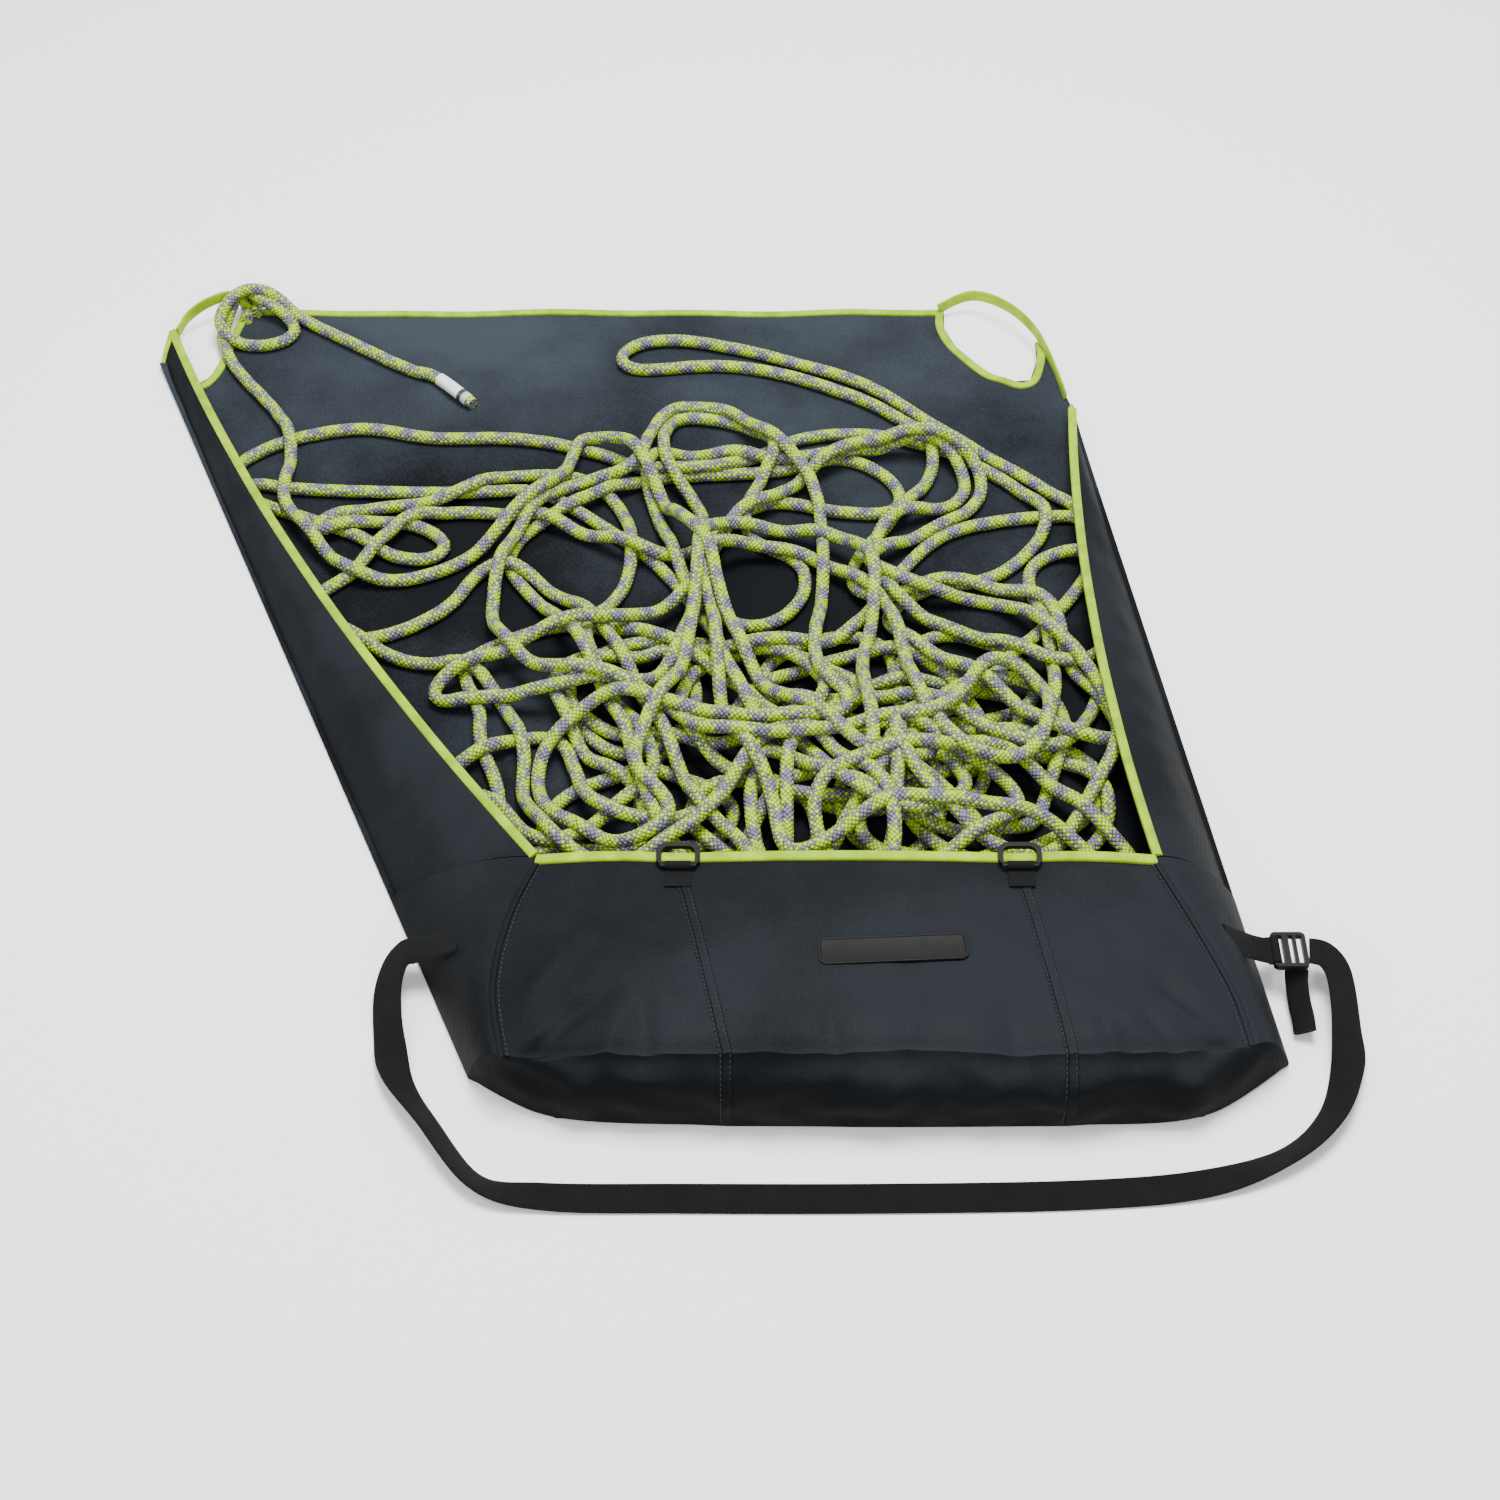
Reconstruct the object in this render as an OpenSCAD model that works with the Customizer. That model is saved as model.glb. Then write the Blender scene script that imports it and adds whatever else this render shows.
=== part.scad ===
/* [Ground sheet] */
// Length of the ground sheet from the pouch mouth to its rear edge
sheet_l = 742; // [700:10:900]
// Thickness of a cloth panel
cloth_t = 2; // [1.5:0.1:2.5]
// Lean of the left fold line away from straight back, in degrees
left_lean = 23.5; // [18:0.5:26]
// Lean of the right fold line away from straight back, in degrees
right_lean = 7.4; // [5:0.2:10]

/* [Pouch] */
// Width of the pouch mouth
mouth_w = 476; // [400:2:580]
// Length of the pouch from its mouth to the front crease
pouch_l = 198; // [165:1:240]
// Height of the mouth edge above the ground
mouth_h = 55; // [46:1:66]
// Height of the front crease above the ground
crease_h = 74; // [62:1:88]
// Distance between the two seams at the mouth
seam_gap = 264; // [230:2:310]

/* [Side panels] */
// Width of the left side panel at the pouch mouth
left_flap_w = 121; // [100:1:146]
// Width of the right side panel at the pouch mouth
right_flap_w = 71; // [60:1:86]
// How far the left inner edge bows outwards between its ends
left_bow = 27; // [15:1:34]
// How far the right inner edge bows outwards between its ends
right_bow = 15; // [8:1:20]

/* [Edge binding] */
// Width of the edge binding
bind_w = 8; // [6:0.5:10]
// Thickness of the edge binding
bind_t = 4; // [3:0.2:5]
// Width of a corner loop's band
loop_w = 12; // [9:0.5:15]

/* [Webbing and buckles] */
// Width of the shoulder strap webbing
strap_w = 25; // [20:1:30]
// Thickness of the shoulder strap webbing
strap_t = 2.2; // [1.8:0.1:2.6]
// Width of a closure tab
tab_w = 20; // [16:1:24]
// Width of a closure ring
ring_w = 34; // [30:1:40]
// Length of a closure ring
ring_l = 24; // [20:1:28]
// Thickness of the ladder lock's frame
lock_t = 5; // [4:0.2:6]
// Length of the ladder lock
lock_l = 27; // [24:1:32]

/* [Name patch] */
// Width of the blank name patch
patch_w = 112; // [90:1:134]
// Height of the blank name patch
patch_l = 26; // [21:1:31]

/* [Rope] */
// Diameter of the climbing rope
rope_d = 11.7; // [10:0.1:13]

/* [Hidden] */
$fn = 48;

cloth = "#26282a";
lining = "#444a54";
neon = "#b4d22a";
webbing = "#232526";
plastic = "#141416";
rope = "#a9bd5c";

gap = 0.3;               // between pieces that only lie on each other
joint_gap = 1;           // between pieces that move past each other
flap_gap = 7;            // from a gusset to the side panel behind it
hw = mouth_w / 2;
floor_z = cloth_t + gap; // where a piece lies on the ground sheet
rope_r = rope_d / 2;
steps = 12;              // sections along a side panel

// ---------- helpers ----------
function mix(a, b, t) = a + (b - a) * t;
function unit(v) = v / norm(v);
function last(v) = v[len(v) - 1];
function flip(v) = [for (i = [len(v) - 1 : -1 : 0]) v[i]];
function shifted(rows, d) = [for (r = rows) [for (p = r) p + d]];
function columns(a, b) = [for (i = [0 : len(a) - 1]) [a[i], b[i]]];

// A smooth curve through points p, with n pieces between each pair
function spline_at(a, b, c, d, t) =
    0.5 * ((2 * b) + (c - a) * t + (2 * a - 5 * b + 4 * c - d) * t * t
    + (3 * b - a - 3 * c + d) * t * t * t);
function spline(p, n) = concat(
    [for (i = [0 : len(p) - 2]) for (k = [0 : n - 1])
        spline_at(p[max(i - 1, 0)], p[i], p[i + 1], p[min(i + 2, len(p) - 1)], k / n)],
    [last(p)]);

// Direction of a line of points at point i
function heading(p, i) = unit(p[min(i + 1, len(p) - 1)] - p[max(i - 1, 0)]);

// A line of 2D points moved d to its left
function beside(p, d) = [for (i = [0 : len(p) - 1])
    let (h = heading(p, i)) p[i] + d * [-h[1], h[0]]];

// A closed solid between two grids of points with the same rows and columns
module between(top, under) {
    n = len(top);
    m = len(top[0]);
    face_up = top[0][0] - under[0][0];
    turn = cross(top[1][0] - top[0][0], top[0][1] - top[0][0]) * face_up > 0;
    function at(i, j) = i * m + j;
    function low(i, j) = n * m + i * m + j;
    quads = concat(
        [for (i = [0 : n - 2]) for (j = [0 : m - 2])
            [at(i, j), at(i + 1, j), at(i + 1, j + 1), at(i, j + 1)]],
        [for (i = [0 : n - 2]) for (j = [0 : m - 2])
            [low(i, j), low(i, j + 1), low(i + 1, j + 1), low(i + 1, j)]],
        [for (i = [0 : n - 2]) [at(i, 0), low(i, 0), low(i + 1, 0), at(i + 1, 0)]],
        [for (i = [0 : n - 2])
            [at(i, m - 1), at(i + 1, m - 1), low(i + 1, m - 1), low(i, m - 1)]],
        [for (j = [0 : m - 2]) [at(0, j), at(0, j + 1), low(0, j + 1), low(0, j)]],
        [for (j = [0 : m - 2])
            [at(n - 1, j + 1), at(n - 1, j), low(n - 1, j), low(n - 1, j + 1)]]);
    triangles = [for (q = quads) each [[q[0], q[1], q[2]], [q[0], q[2], q[3]]]];
    polyhedron(
        points = [for (r = concat(top, under)) each r],
        faces = turn ? [for (f = triangles) flip(f)] : triangles);
}

// A panel of cloth: a grid of top points with thickness t below it
module panel(rows, t = cloth_t) {
    between(rows, shifted(rows, [0, 0, -t]));
}

// A flat band along points p, with its width along the vectors w
module band(p, w, width, t) {
    n = len(p) - 1;
    side = [for (i = [0 : n]) unit(w[i]) * width / 2];
    face = [for (i = [0 : n]) unit(cross(heading(p, i), side[i])) * t / 2];
    between(
        [for (i = [0 : n]) [p[i] - side[i] + face[i], p[i] + side[i] + face[i]]],
        [for (i = [0 : n]) [p[i] - side[i] - face[i], p[i] + side[i] - face[i]]]);
}

// A round tube of diameter d swept along points p
module tube(p, d, sides = 10) {
    n = len(p) - 1;
    rings = [for (i = [0 : n])
        let (h = heading(p, i), s = unit(cross(h, [0, 0, 1])), u = cross(s, h))
        for (k = [0 : sides - 1])
            p[i] + d / 2 * (s * cos(360 * k / sides) + u * sin(360 * k / sides))];
    function q(i, k) = i * sides + k % sides;
    polyhedron(
        points = rings,
        faces = concat(
            [[for (k = [0 : sides - 1]) q(0, k)], [for (k = [sides - 1 : -1 : 0]) q(n, k)]],
            [for (i = [0 : n - 1]) for (k = [0 : sides - 1])
                [q(i, k), q(i + 1, k), q(i + 1, k + 1), q(i, k + 1)]]));
}

// A rectangle with round corners
module round_rect(w, l, r) {
    square([w - 2 * r, l], center = true);
    square([w, l - 2 * r], center = true);
    for (x = [-1, 1])
        for (y = [-1, 1])
            translate([x * (w / 2 - r), y * (l / 2 - r)])
                circle(r);
}

// ---------- lines that the cloth follows ----------
// Outer fold lines, as x at a given y
function left_fold(y) = -hw - left_flap_w - y * tan(left_lean);
function right_fold(y) = hw + right_flap_w - y * tan(right_lean);

// Rear ends of the side panels, measured from the rear edge
left_tip_y = sheet_l - 82;
right_tip_y = sheet_l - 152;

// Inner edges of the side panels, from the mouth corner (t = 0) to the rear (t = 1)
left_tip = [left_fold(left_tip_y) + 14, left_tip_y + 32, 18];
right_tip = [right_fold(right_tip_y) - 8, right_tip_y - 16, 20];
function inner_h(t, tip_h) = tip_h + (mouth_h - tip_h) * pow(1 - t, 1.3);
function left_inner(t) = [
    mix(-hw, left_tip[0], t) - left_bow * 4 * t * (1 - t),
    mix(flap_gap, left_tip[1], t),
    inner_h(t, left_tip[2])];
function right_inner(t) = [
    mix(hw, right_tip[0], t) - right_bow * 4 * t * (1 - t),
    mix(flap_gap, right_tip[1], t),
    inner_h(t, right_tip[2])];

// Cut-outs at the rear corners, each from its rear edge end round to the side
left_cut = [
    [left_tip[0] + 57, sheet_l], [left_tip[0] + 50, sheet_l - 34],
    [left_tip[0] + 46, sheet_l - 72], [left_tip[0] + 38, sheet_l - 100],
    [left_tip[0] + 26, sheet_l - 112], [left_tip[0] + 10, sheet_l - 84]];
right_cut = [
    [right_tip[0] - 107, sheet_l], [right_tip[0] - 108, sheet_l - 26],
    [right_tip[0] - 97, sheet_l - 62], [right_tip[0] - 73, sheet_l - 93],
    [right_tip[0] - 48, sheet_l - 113], [right_tip[0] - 30, sheet_l - 108],
    [right_tip[0] - 22, sheet_l - 84], [right_tip[0] - 22, sheet_l - 58]];

// Seams down the pouch, and the corner edges where its top meets the gussets
rows_y = [0, -0.3, -0.64, -1] * pouch_l;
seam_lean = 41;   // how far the left seam runs sideways from mouth to crease
seam_lean_r = 27; // and the right seam
left_seam = [for (i = [0 : 3]) [
    -seam_gap / 2 + seam_lean * i / 3, rows_y[i], mix(mouth_h + 2, crease_h, i / 3)]];
right_seam = [for (i = [0 : 3]) [
    seam_gap / 2 + seam_lean_r * i / 3, rows_y[i], mix(mouth_h + 2, crease_h, i / 3)]];
corner_y = [0, -60, -125, -pouch_l + 12];
left_corner = [
    [-hw, corner_y[0], mouth_h], [-hw - 20, corner_y[1], mouth_h + 1],
    [-hw - 28, corner_y[2], mouth_h], [-hw - 18, corner_y[3], mouth_h - 4]];
right_corner = [
    [hw, corner_y[0], mouth_h], [hw + 24, corner_y[1], mouth_h - 2],
    [hw + 47, corner_y[2], mouth_h - 5], [hw + 56, corner_y[3] + 14, mouth_h - 9]];
crease = [
    left_corner[3], [-hw * 0.76, -pouch_l + 3, crease_h - 6], left_seam[3],
    [mix(left_seam[3][0], right_seam[3][0], 0.5), -pouch_l, crease_h + 2],
    right_seam[3], [hw, -pouch_l + 6, crease_h - 8], right_corner[3]];

// Foot of the front wall, which bulges a little past the crease
bulge = 14;
foot_l = -pouch_l - bulge;
foot = [
    [left_fold(foot_l + 42), foot_l + 42, floor_z], [-hw + 20, foot_l + 7, floor_z],
    [left_seam[3][0], foot_l, floor_z], [crease[3][0], foot_l - 1, floor_z],
    [right_seam[3][0], foot_l, floor_z], [hw + 22, foot_l + 8, floor_z],
    [right_fold(foot_l + 54), foot_l + 54, floor_z]];

// Gussets: the fold on the ground, a shoulder, and the corner edge
gusset_y = [-joint_gap, -60, -125];
shoulder_h = 24;
shoulder_in = 7;
left_gusset_rows = [for (i = [0 : 3])
    let (y = i < 3 ? gusset_y[i] : foot[0][1], x = i < 3 ? left_fold(y) : foot[0][0],
        c = i == 0 ? left_corner[0] - [0, joint_gap, 0] : left_corner[i])
    [[x, y, floor_z + cloth_t], [x + shoulder_in, mix(y, c[1], 0.1), shoulder_h], c]];
right_gusset_rows = [for (i = [0 : 3])
    let (y = i < 3 ? gusset_y[i] : foot[6][1], x = i < 3 ? right_fold(y) : foot[6][0],
        c = i == 0 ? right_corner[0] - [0, joint_gap, 0] : right_corner[i])
    [[x, y, floor_z + cloth_t], [x - shoulder_in, mix(y, c[1], 0.1), shoulder_h], c]];

// ---------- ground sheet and its edges ----------
module base_sheet() {
    color(lining)
        linear_extrude(cloth_t)
            polygon(concat(
                flip([for (p = beside(right_cut, -bind_w)) [p[0], min(p[1], sheet_l - bind_w)]]),
                [for (p = beside(left_cut, bind_w)) [p[0], min(p[1], sheet_l - bind_w)]],
                [[left_fold(left_tip_y), left_tip_y]],
                [[foot[0][0] - 2, foot[0][1]]],
                [for (i = [1 : 5]) [foot[i][0], foot[i][1] - 2]],
                [[foot[6][0] + 2, foot[6][1]]],
                [[right_fold(right_tip_y), right_tip_y]]));
}

module rear_binding() {
    color(neon)
        translate([left_cut[0][0] + bind_w, sheet_l - bind_w, 0])
            cube([right_cut[0][0] - left_cut[0][0] - 2 * bind_w, bind_w, bind_t]);
}

// Binding round a cut-out, lying along the sheet's own edge
module cutout_binding(cut, side) {
    color(neon)
        linear_extrude(bind_t)
            polygon(concat(cut, flip(beside(cut, side * bind_w))));
}

module left_cutout_binding() { cutout_binding(left_cut, 1); }
module right_cutout_binding() { cutout_binding(right_cut, -1); }

// Band that bridges a cut-out as a corner loop
module corner_loop(points) {
    p = spline(points, 3);
    color(neon)
        band(p, [for (q = p) [0, 0, 1]], loop_w, cloth_t);
}

loop_z = bind_t + gap + loop_w / 2;
module left_corner_loop() {
    corner_loop([
        [left_cut[0][0] + 6, sheet_l - 4, loop_z],
        [left_cut[0][0] - 10, sheet_l + 1, loop_z + 12],
        [left_tip[0] + 26, sheet_l - 12, loop_z + 14],
        [left_tip[0] + 8, sheet_l - 26, loop_z + 8],
        [left_tip[0] + 2, sheet_l - 40, loop_z + 4]]);
}

module right_corner_loop() {
    corner_loop([
        [right_cut[0][0] - 6, sheet_l - 4, loop_z],
        [right_cut[0][0] + 26, sheet_l + 4, loop_z + 10],
        [right_cut[0][0] + 58, sheet_l - 16, loop_z + 14],
        [right_cut[0][0] + 84, sheet_l - 52, loop_z + 12],
        [right_tip[0] - 8, sheet_l - 98, loop_z + 6],
        [right_tip[0] + 1, right_tip[1] + 30, loop_z]]);
}

// ---------- side panels ----------
module left_side_panel() {
    color(cloth)
        panel([for (i = [0 : steps])
            let (t = i / steps, y = mix(flap_gap, left_tip_y, t), e = left_inner(t))
            [[left_fold(y), y, floor_z + cloth_t], e - [bind_w, 0, 0]]]);
}

module left_panel_binding() {
    color(neon)
        panel([for (i = [0 : steps]) let (e = left_inner(i / steps))
            [e - [bind_w, 0, 0], e] ], bind_t);
}

module right_side_panel() {
    color(cloth)
        panel([for (i = [0 : steps])
            let (t = i / steps, y = mix(flap_gap, right_tip_y, t), e = right_inner(t))
            [e + [bind_w, 0, 0], [right_fold(y), y, floor_z + cloth_t]]]);
}

module right_panel_binding() {
    color(neon)
        panel([for (i = [0 : steps]) let (e = right_inner(i / steps))
            [e, e + [bind_w, 0, 0]] ], bind_t);
}

// ---------- pouch ----------
module left_gusset() { color(cloth) panel(left_gusset_rows); }
module right_gusset() { color(cloth) panel(right_gusset_rows); }

// The rear row of each top panel starts behind the mouth binding
function behind(row) = [row[0] - [0, bind_w, 0], row[1], row[2], row[3]];

module pouch_left_panel() {
    a = behind(left_corner);
    c = behind(left_seam);
    color(cloth)
        panel([for (i = [0 : 3])
            [a[i], i < 3 ? mix(a[i], c[i], 0.5) + [0, 0, 2] : crease[1], c[i]]]);
}

module pouch_centre_panel() {
    a = behind(left_seam);
    c = behind(right_seam);
    color(cloth)
        panel([for (i = [0 : 3]) [a[i], mix(a[i], c[i], 0.5) + [0, 0, 2], c[i]]]);
}

module pouch_right_panel() {
    a = behind(right_seam);
    c = behind(right_corner);
    color(cloth)
        panel([for (i = [0 : 3])
            [a[i], i < 3 ? mix(a[i], c[i], 0.5) + [0, 0, 2] : crease[5], c[i]]]);
}

// The front wall stands under the crease, with its cloth inside its face
module pouch_front_wall() {
    face = columns(foot, [for (p = crease) p - [0, 0, cloth_t + gap]]);
    color(cloth)
        between(face, shifted(face, [0, cloth_t, 0]));
}

module mouth_binding() {
    edge = [left_corner[0], left_seam[0], mix(left_seam[0], right_seam[0], 0.5) + [0, 0, 2],
        right_seam[0], right_corner[0]];
    color(neon)
        panel([for (p = edge) [p - [0, bind_w, 0], p]], bind_t);
}

// Tape that covers the raw edges of a seam, inside the pouch
module seam_tape(seam) {
    drop = [0, 0, cloth_t + bind_t + gap];
    half = [bind_w / 2, 0, 0];
    line = [for (i = [0 : 3]) behind(seam)[i] - drop - (i == 3 ? [0, -3 * cloth_t, 0] : [0, 0, 0])];
    color(neon)
        panel([for (p = line) [p - half, p + half]], 1);
}

module left_seam_tape() { seam_tape(left_seam); }
module right_seam_tape() { seam_tape(right_seam); }

// Blank rubber patch that lies on the centre panel
patch_at = [32, -pouch_l * 0.51];
module name_patch() {
    slope = atan((crease_h - mouth_h - 2) / pouch_l);
    z = mix(mouth_h + 2, crease_h, 0.51) + 2;
    color(plastic)
        translate([patch_at[0], patch_at[1], z + gap + 0.5])
            rotate([-slope, 0, 3])
                linear_extrude(2.5)
                    round_rect(patch_w, patch_l, 5);
}

// ---------- closure rings at the mouth ----------
bar_r = 1.8;
bar_fit = 0.4;        // clearance between a ring's bar and the tab round it
tab_t = 1.5;
ring_t = 4;
ring_y = -15;         // where the ring's bar lies
ring_z = mouth_h + 8;
ring_hole_w = ring_w - 2 * ring_t;

module closure_tab(x) {
    outer = bar_r + bar_fit + tab_t;
    color(webbing)
        translate([x - tab_w / 2, 0, 0]) {
            translate([0, ring_y, ring_z])
                rotate([90, 0, 90])
                    difference() {
                        cylinder(r = outer, h = tab_w);
                        translate([0, 0, -1])
                            cylinder(r = bar_r + bar_fit, h = tab_w + 2);
                    }
            translate([0, ring_y, ring_z - outer])
                rotate([-5, 0, 0])
                    translate([0, -20, 0])
                        cube([tab_w, 20, tab_t]);
        }
}

module closure_ring(x) {
    side_y = ring_l - ring_t;
    color(plastic)
        translate([x, ring_y, ring_z]) {
            translate([0, 0, -ring_t / 2])
                linear_extrude(ring_t)
                    difference() {
                        translate([0, ring_l / 2 - ring_t / 2])
                            round_rect(ring_w, ring_l, 9);
                        translate([0, ring_l / 2 - ring_t / 2])
                            round_rect(ring_hole_w, ring_l - 2 * ring_t, 6);
                        translate([-ring_hole_w / 2, -ring_t])
                            square([ring_hole_w, ring_l / 2]);
                    }
            rotate([0, 90, 0])
                cylinder(r = bar_r, h = ring_hole_w + 2, center = true);
        }
}

module left_closure_tab() { closure_tab(left_seam[0][0] + 2); }
module right_closure_tab() { closure_tab(right_seam[0][0] + 2); }
module left_closure_ring() { closure_ring(left_seam[0][0] + 2); }
module right_closure_ring() { closure_ring(right_seam[0][0] + 2); }

// ---------- shoulder strap ----------
axis_y = -70;  // the strap swings about a line through both anchors
axis_z = 27;
anchor_l = 34; // length of webbing sewn to a gusset
left_end = left_fold(axis_y) - 2;
right_end = right_fold(axis_y) + 3;

// How far each anchor climbs its gusset, as a share of the gusset's slope
left_climb = 0.542;
right_climb = 0.606;
function rise(climb) = shoulder_h - axis_z + strap_t + (mouth_h - shoulder_h) * climb;
left_rise = rise(left_climb);
right_rise = rise(right_climb);
nose_rise = 4;   // and how far it has climbed a third of the way up
nose = 0.3;

// Webbing sewn on a gusset, from the strap's swing line up its slope
module anchor_patch(x, side, rise) {
    run = [x + side * joint_gap, x + side * anchor_l];
    color(webbing)
        between(
            [for (y = [-1, 1]) [
                [run[0], axis_y + y * strap_w / 2, axis_z + strap_t / 2],
                [mix(run[0], run[1], nose), axis_y + y * strap_w / 2, axis_z + nose_rise],
                [run[1], axis_y + y * strap_w / 2, axis_z + rise]]],
            [for (y = [-1, 1]) [
                [run[0], axis_y + y * strap_w / 2, axis_z - strap_t / 2],
                [mix(run[0], run[1], nose), axis_y + y * strap_w / 2,
                    axis_z + nose_rise - strap_t],
                [run[1], axis_y + y * strap_w / 2, axis_z + rise - strap_t]]]);
}

module left_strap_anchor() { anchor_patch(left_end, 1, left_rise); }
module right_strap_tab() { anchor_patch(right_end, -1, right_rise); }

// Rows of close zigzag stitches that hold the webbing to the gussets
module anchor_tacks(x, side, rise) {
    slope = atan((rise - nose_rise) / (anchor_l * (1 - nose)));
    for (d = [16, 28])
        translate([x + side * d, axis_y,
            axis_z + nose_rise + (d - anchor_l * nose) * tan(slope) + gap * 2])
            rotate([0, -side * slope, 0])
                cube([2, strap_w - 4, 0.6], center = true);
}

module strap_bartacks() {
    color(webbing) {
        anchor_tacks(left_end, 1, left_rise);
        anchor_tacks(right_end, -1, right_rise);
    }
}

// The bars of the ladder lock run along Y
lock_x = right_end + 4;
module lock_loop() {
    outer = bar_r + bar_fit + strap_t / 2 + 0.4;
    color(webbing) {
        translate([lock_x + ring_t / 2 + 1, axis_y, axis_z])
            rotate([90, 0, 0])
                difference() {
                    cylinder(r = outer, h = strap_w, center = true);
                    cylinder(r = bar_r + bar_fit, h = strap_w + 2, center = true);
                }
        translate([right_end + joint_gap / 2, axis_y - strap_w / 2, axis_z - strap_t / 2])
            cube([lock_x + ring_t / 2 + 1 - outer - right_end, strap_w, strap_t]);
    }
}

module ladder_lock() {
    w = strap_w + 8;
    slot = strap_w + 1.5;
    color(plastic)
        translate([lock_x, axis_y, axis_z]) {
            difference() {
                translate([lock_l / 2, 0, -lock_t / 2])
                    linear_extrude(lock_t)
                        round_rect(lock_l, w, 4);
                // slots for the loop and for the two passes of the strap
                translate([-1, -slot / 2, -lock_t])
                    cube([lock_l * 0.36, slot, 2 * lock_t]);
                translate([lock_l * 0.5, -slot / 2, -lock_t])
                    cube([lock_l * 0.13, slot, 2 * lock_t]);
                translate([lock_l * 0.72, -slot / 2, -lock_t])
                    cube([lock_l * 0.16, slot, 2 * lock_t]);
            }
            translate([ring_t / 2 + 1, 0, 0])
                rotate([90, 0, 0])
                    cylinder(r = bar_r, h = slot + 2, center = true);
        }
}

// Route of the strap: a place and a width direction, from the left anchor
// round the front of the pouch to the ladder lock
ground_z = strap_t / 2 + 0.4;
side_z = strap_w / 2 * 0.6 + 1;
front_y = foot_l - 62;
strap_left_x = left_end - 20;
strap_right_x = right_end + 54;
strap_route = [
    [[left_end, axis_y, axis_z], [0, 1, 0]],
    [[left_end - 8, axis_y - 1, axis_z - 1], [-0.2, 1, 0]],
    [[left_end - 16, axis_y - 10, axis_z - 6], [-0.8, 0.8, -0.3]],
    [[strap_left_x, axis_y - 32, 14], [-1, 0.3, -0.4]],
    [[strap_left_x + 4, axis_y - 68, 7], [-1, 0, -0.3]],
    [[strap_left_x + 14, axis_y - 105, side_z - 1], [-1, -0.3, 0.5]],
    [[strap_left_x + 38, axis_y - 142, side_z + 1], [-0.6, -0.6, 0.8]],
    [[strap_left_x + 78, front_y + 12, side_z - 3], [-0.2, -0.9, 0.6]],
    [[strap_left_x + 128, front_y + 1, ground_z + 1], [0, -1, 0.1]],
    [[strap_left_x + 230, front_y, ground_z], [0, -1, 0]],
    [[20, front_y, ground_z], [0, -1, 0]],
    [[strap_right_x - 210, front_y + 3, ground_z], [0, -1, 0]],
    [[strap_right_x - 120, front_y + 12, ground_z + 1], [0.1, -1, 0.1]],
    [[strap_right_x - 58, front_y + 34, side_z - 3], [0.4, -0.8, 0.6]],
    [[strap_right_x - 22, front_y + 66, side_z], [0.9, -0.5, 0.7]],
    [[strap_right_x - 4, front_y + 108, side_z], [1, 0, 0.3]],
    [[strap_right_x, axis_y - 62, 13], [1, 0.2, -0.3]],
    [[strap_right_x - 6, axis_y - 30, 20], [0.9, 0.5, -0.6]],
    [[strap_right_x - 12, axis_y - 10, axis_z - 3], [0.5, 1, -0.4]],
    [[lock_x + lock_l + 2, axis_y, axis_z], [0, 1, 0]]];

module shoulder_strap() {
    p = spline([for (s = strap_route) s[0]], 2);
    w = spline([for (s = strap_route) s[1]], 2);
    color(webbing)
        band(p, w, strap_w, strap_t);
}

// Free end of the strap, hanging from the ladder lock beside the bag
tail_x = lock_x + 18;
tail_route = [
    [tail_x, axis_y - strap_w / 2 - 8, 13], [tail_x, axis_y - 38, 12],
    [tail_x + 1, axis_y - 50, 11]];
tail_w = [0.85, 0, 0.5];
module strap_tail() {
    color(webbing)
        band(tail_route, [for (p = tail_route) tail_w], strap_w * 0.72, strap_t);
}

module strap_end_fold() {
    end = last(tail_route);
    color(webbing)
        band([end - [0, gap, 0], end - [0, 13, 1.5]], [tail_w, tail_w], strap_w * 0.72, 3 * strap_t);
}

// ---------- rope ----------
rope_z = floor_z + rope_r; // centre height of a rope that lies on the sheet

// Outer shape of the heap of rope: a height and an outline at each of three levels
heap_levels = [
    [16, [[-218, 30], [-300, 122], [-385, 262], [-430, 350], [-470, 430], [-478, 480],
        [-300, 520], [-150, 540], [60, 545], [150, 470], [190, 430], [212, 30]]],
    [29, [[-200, 36], [-280, 120], [-330, 220], [-300, 330], [-180, 400], [20, 410],
        [130, 380], [175, 280], [200, 36]]],
    [41, [[-185, 46], [-240, 110], [-210, 190], [-60, 250], [100, 220], [170, 120],
        [185, 46]]]];

module rope_pile() {
    color(rope)
        translate([0, 0, floor_z])
            hull()
                for (level = heap_levels)
                    linear_extrude(level[0])
                        polygon(level[1]);
}

// From the knot down the left side to the heap
lead_route = [
    [-585, 678, rope_z + 2], [-560, 634, rope_z + 1], [-534, 594, rope_z], [-514, 562, rope_z],
    [-507, 535, rope_z], [-506, 505, rope_z], [-480, 470, rope_z]];
module rope_lead() { color(rope) tube(lead_route, rope_d); }

// From the knot to the whipped end
tail_rope_route = [
    [-525, 730, rope_z + 2], [-500, 711, rope_z], [-475, 693, rope_z], [-449, 675, rope_z],
    [-423, 658, rope_z], [-397, 642, rope_z], [-373, 626, rope_z]];
module rope_tail() { color(rope) tube(tail_rope_route, rope_d); }

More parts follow.
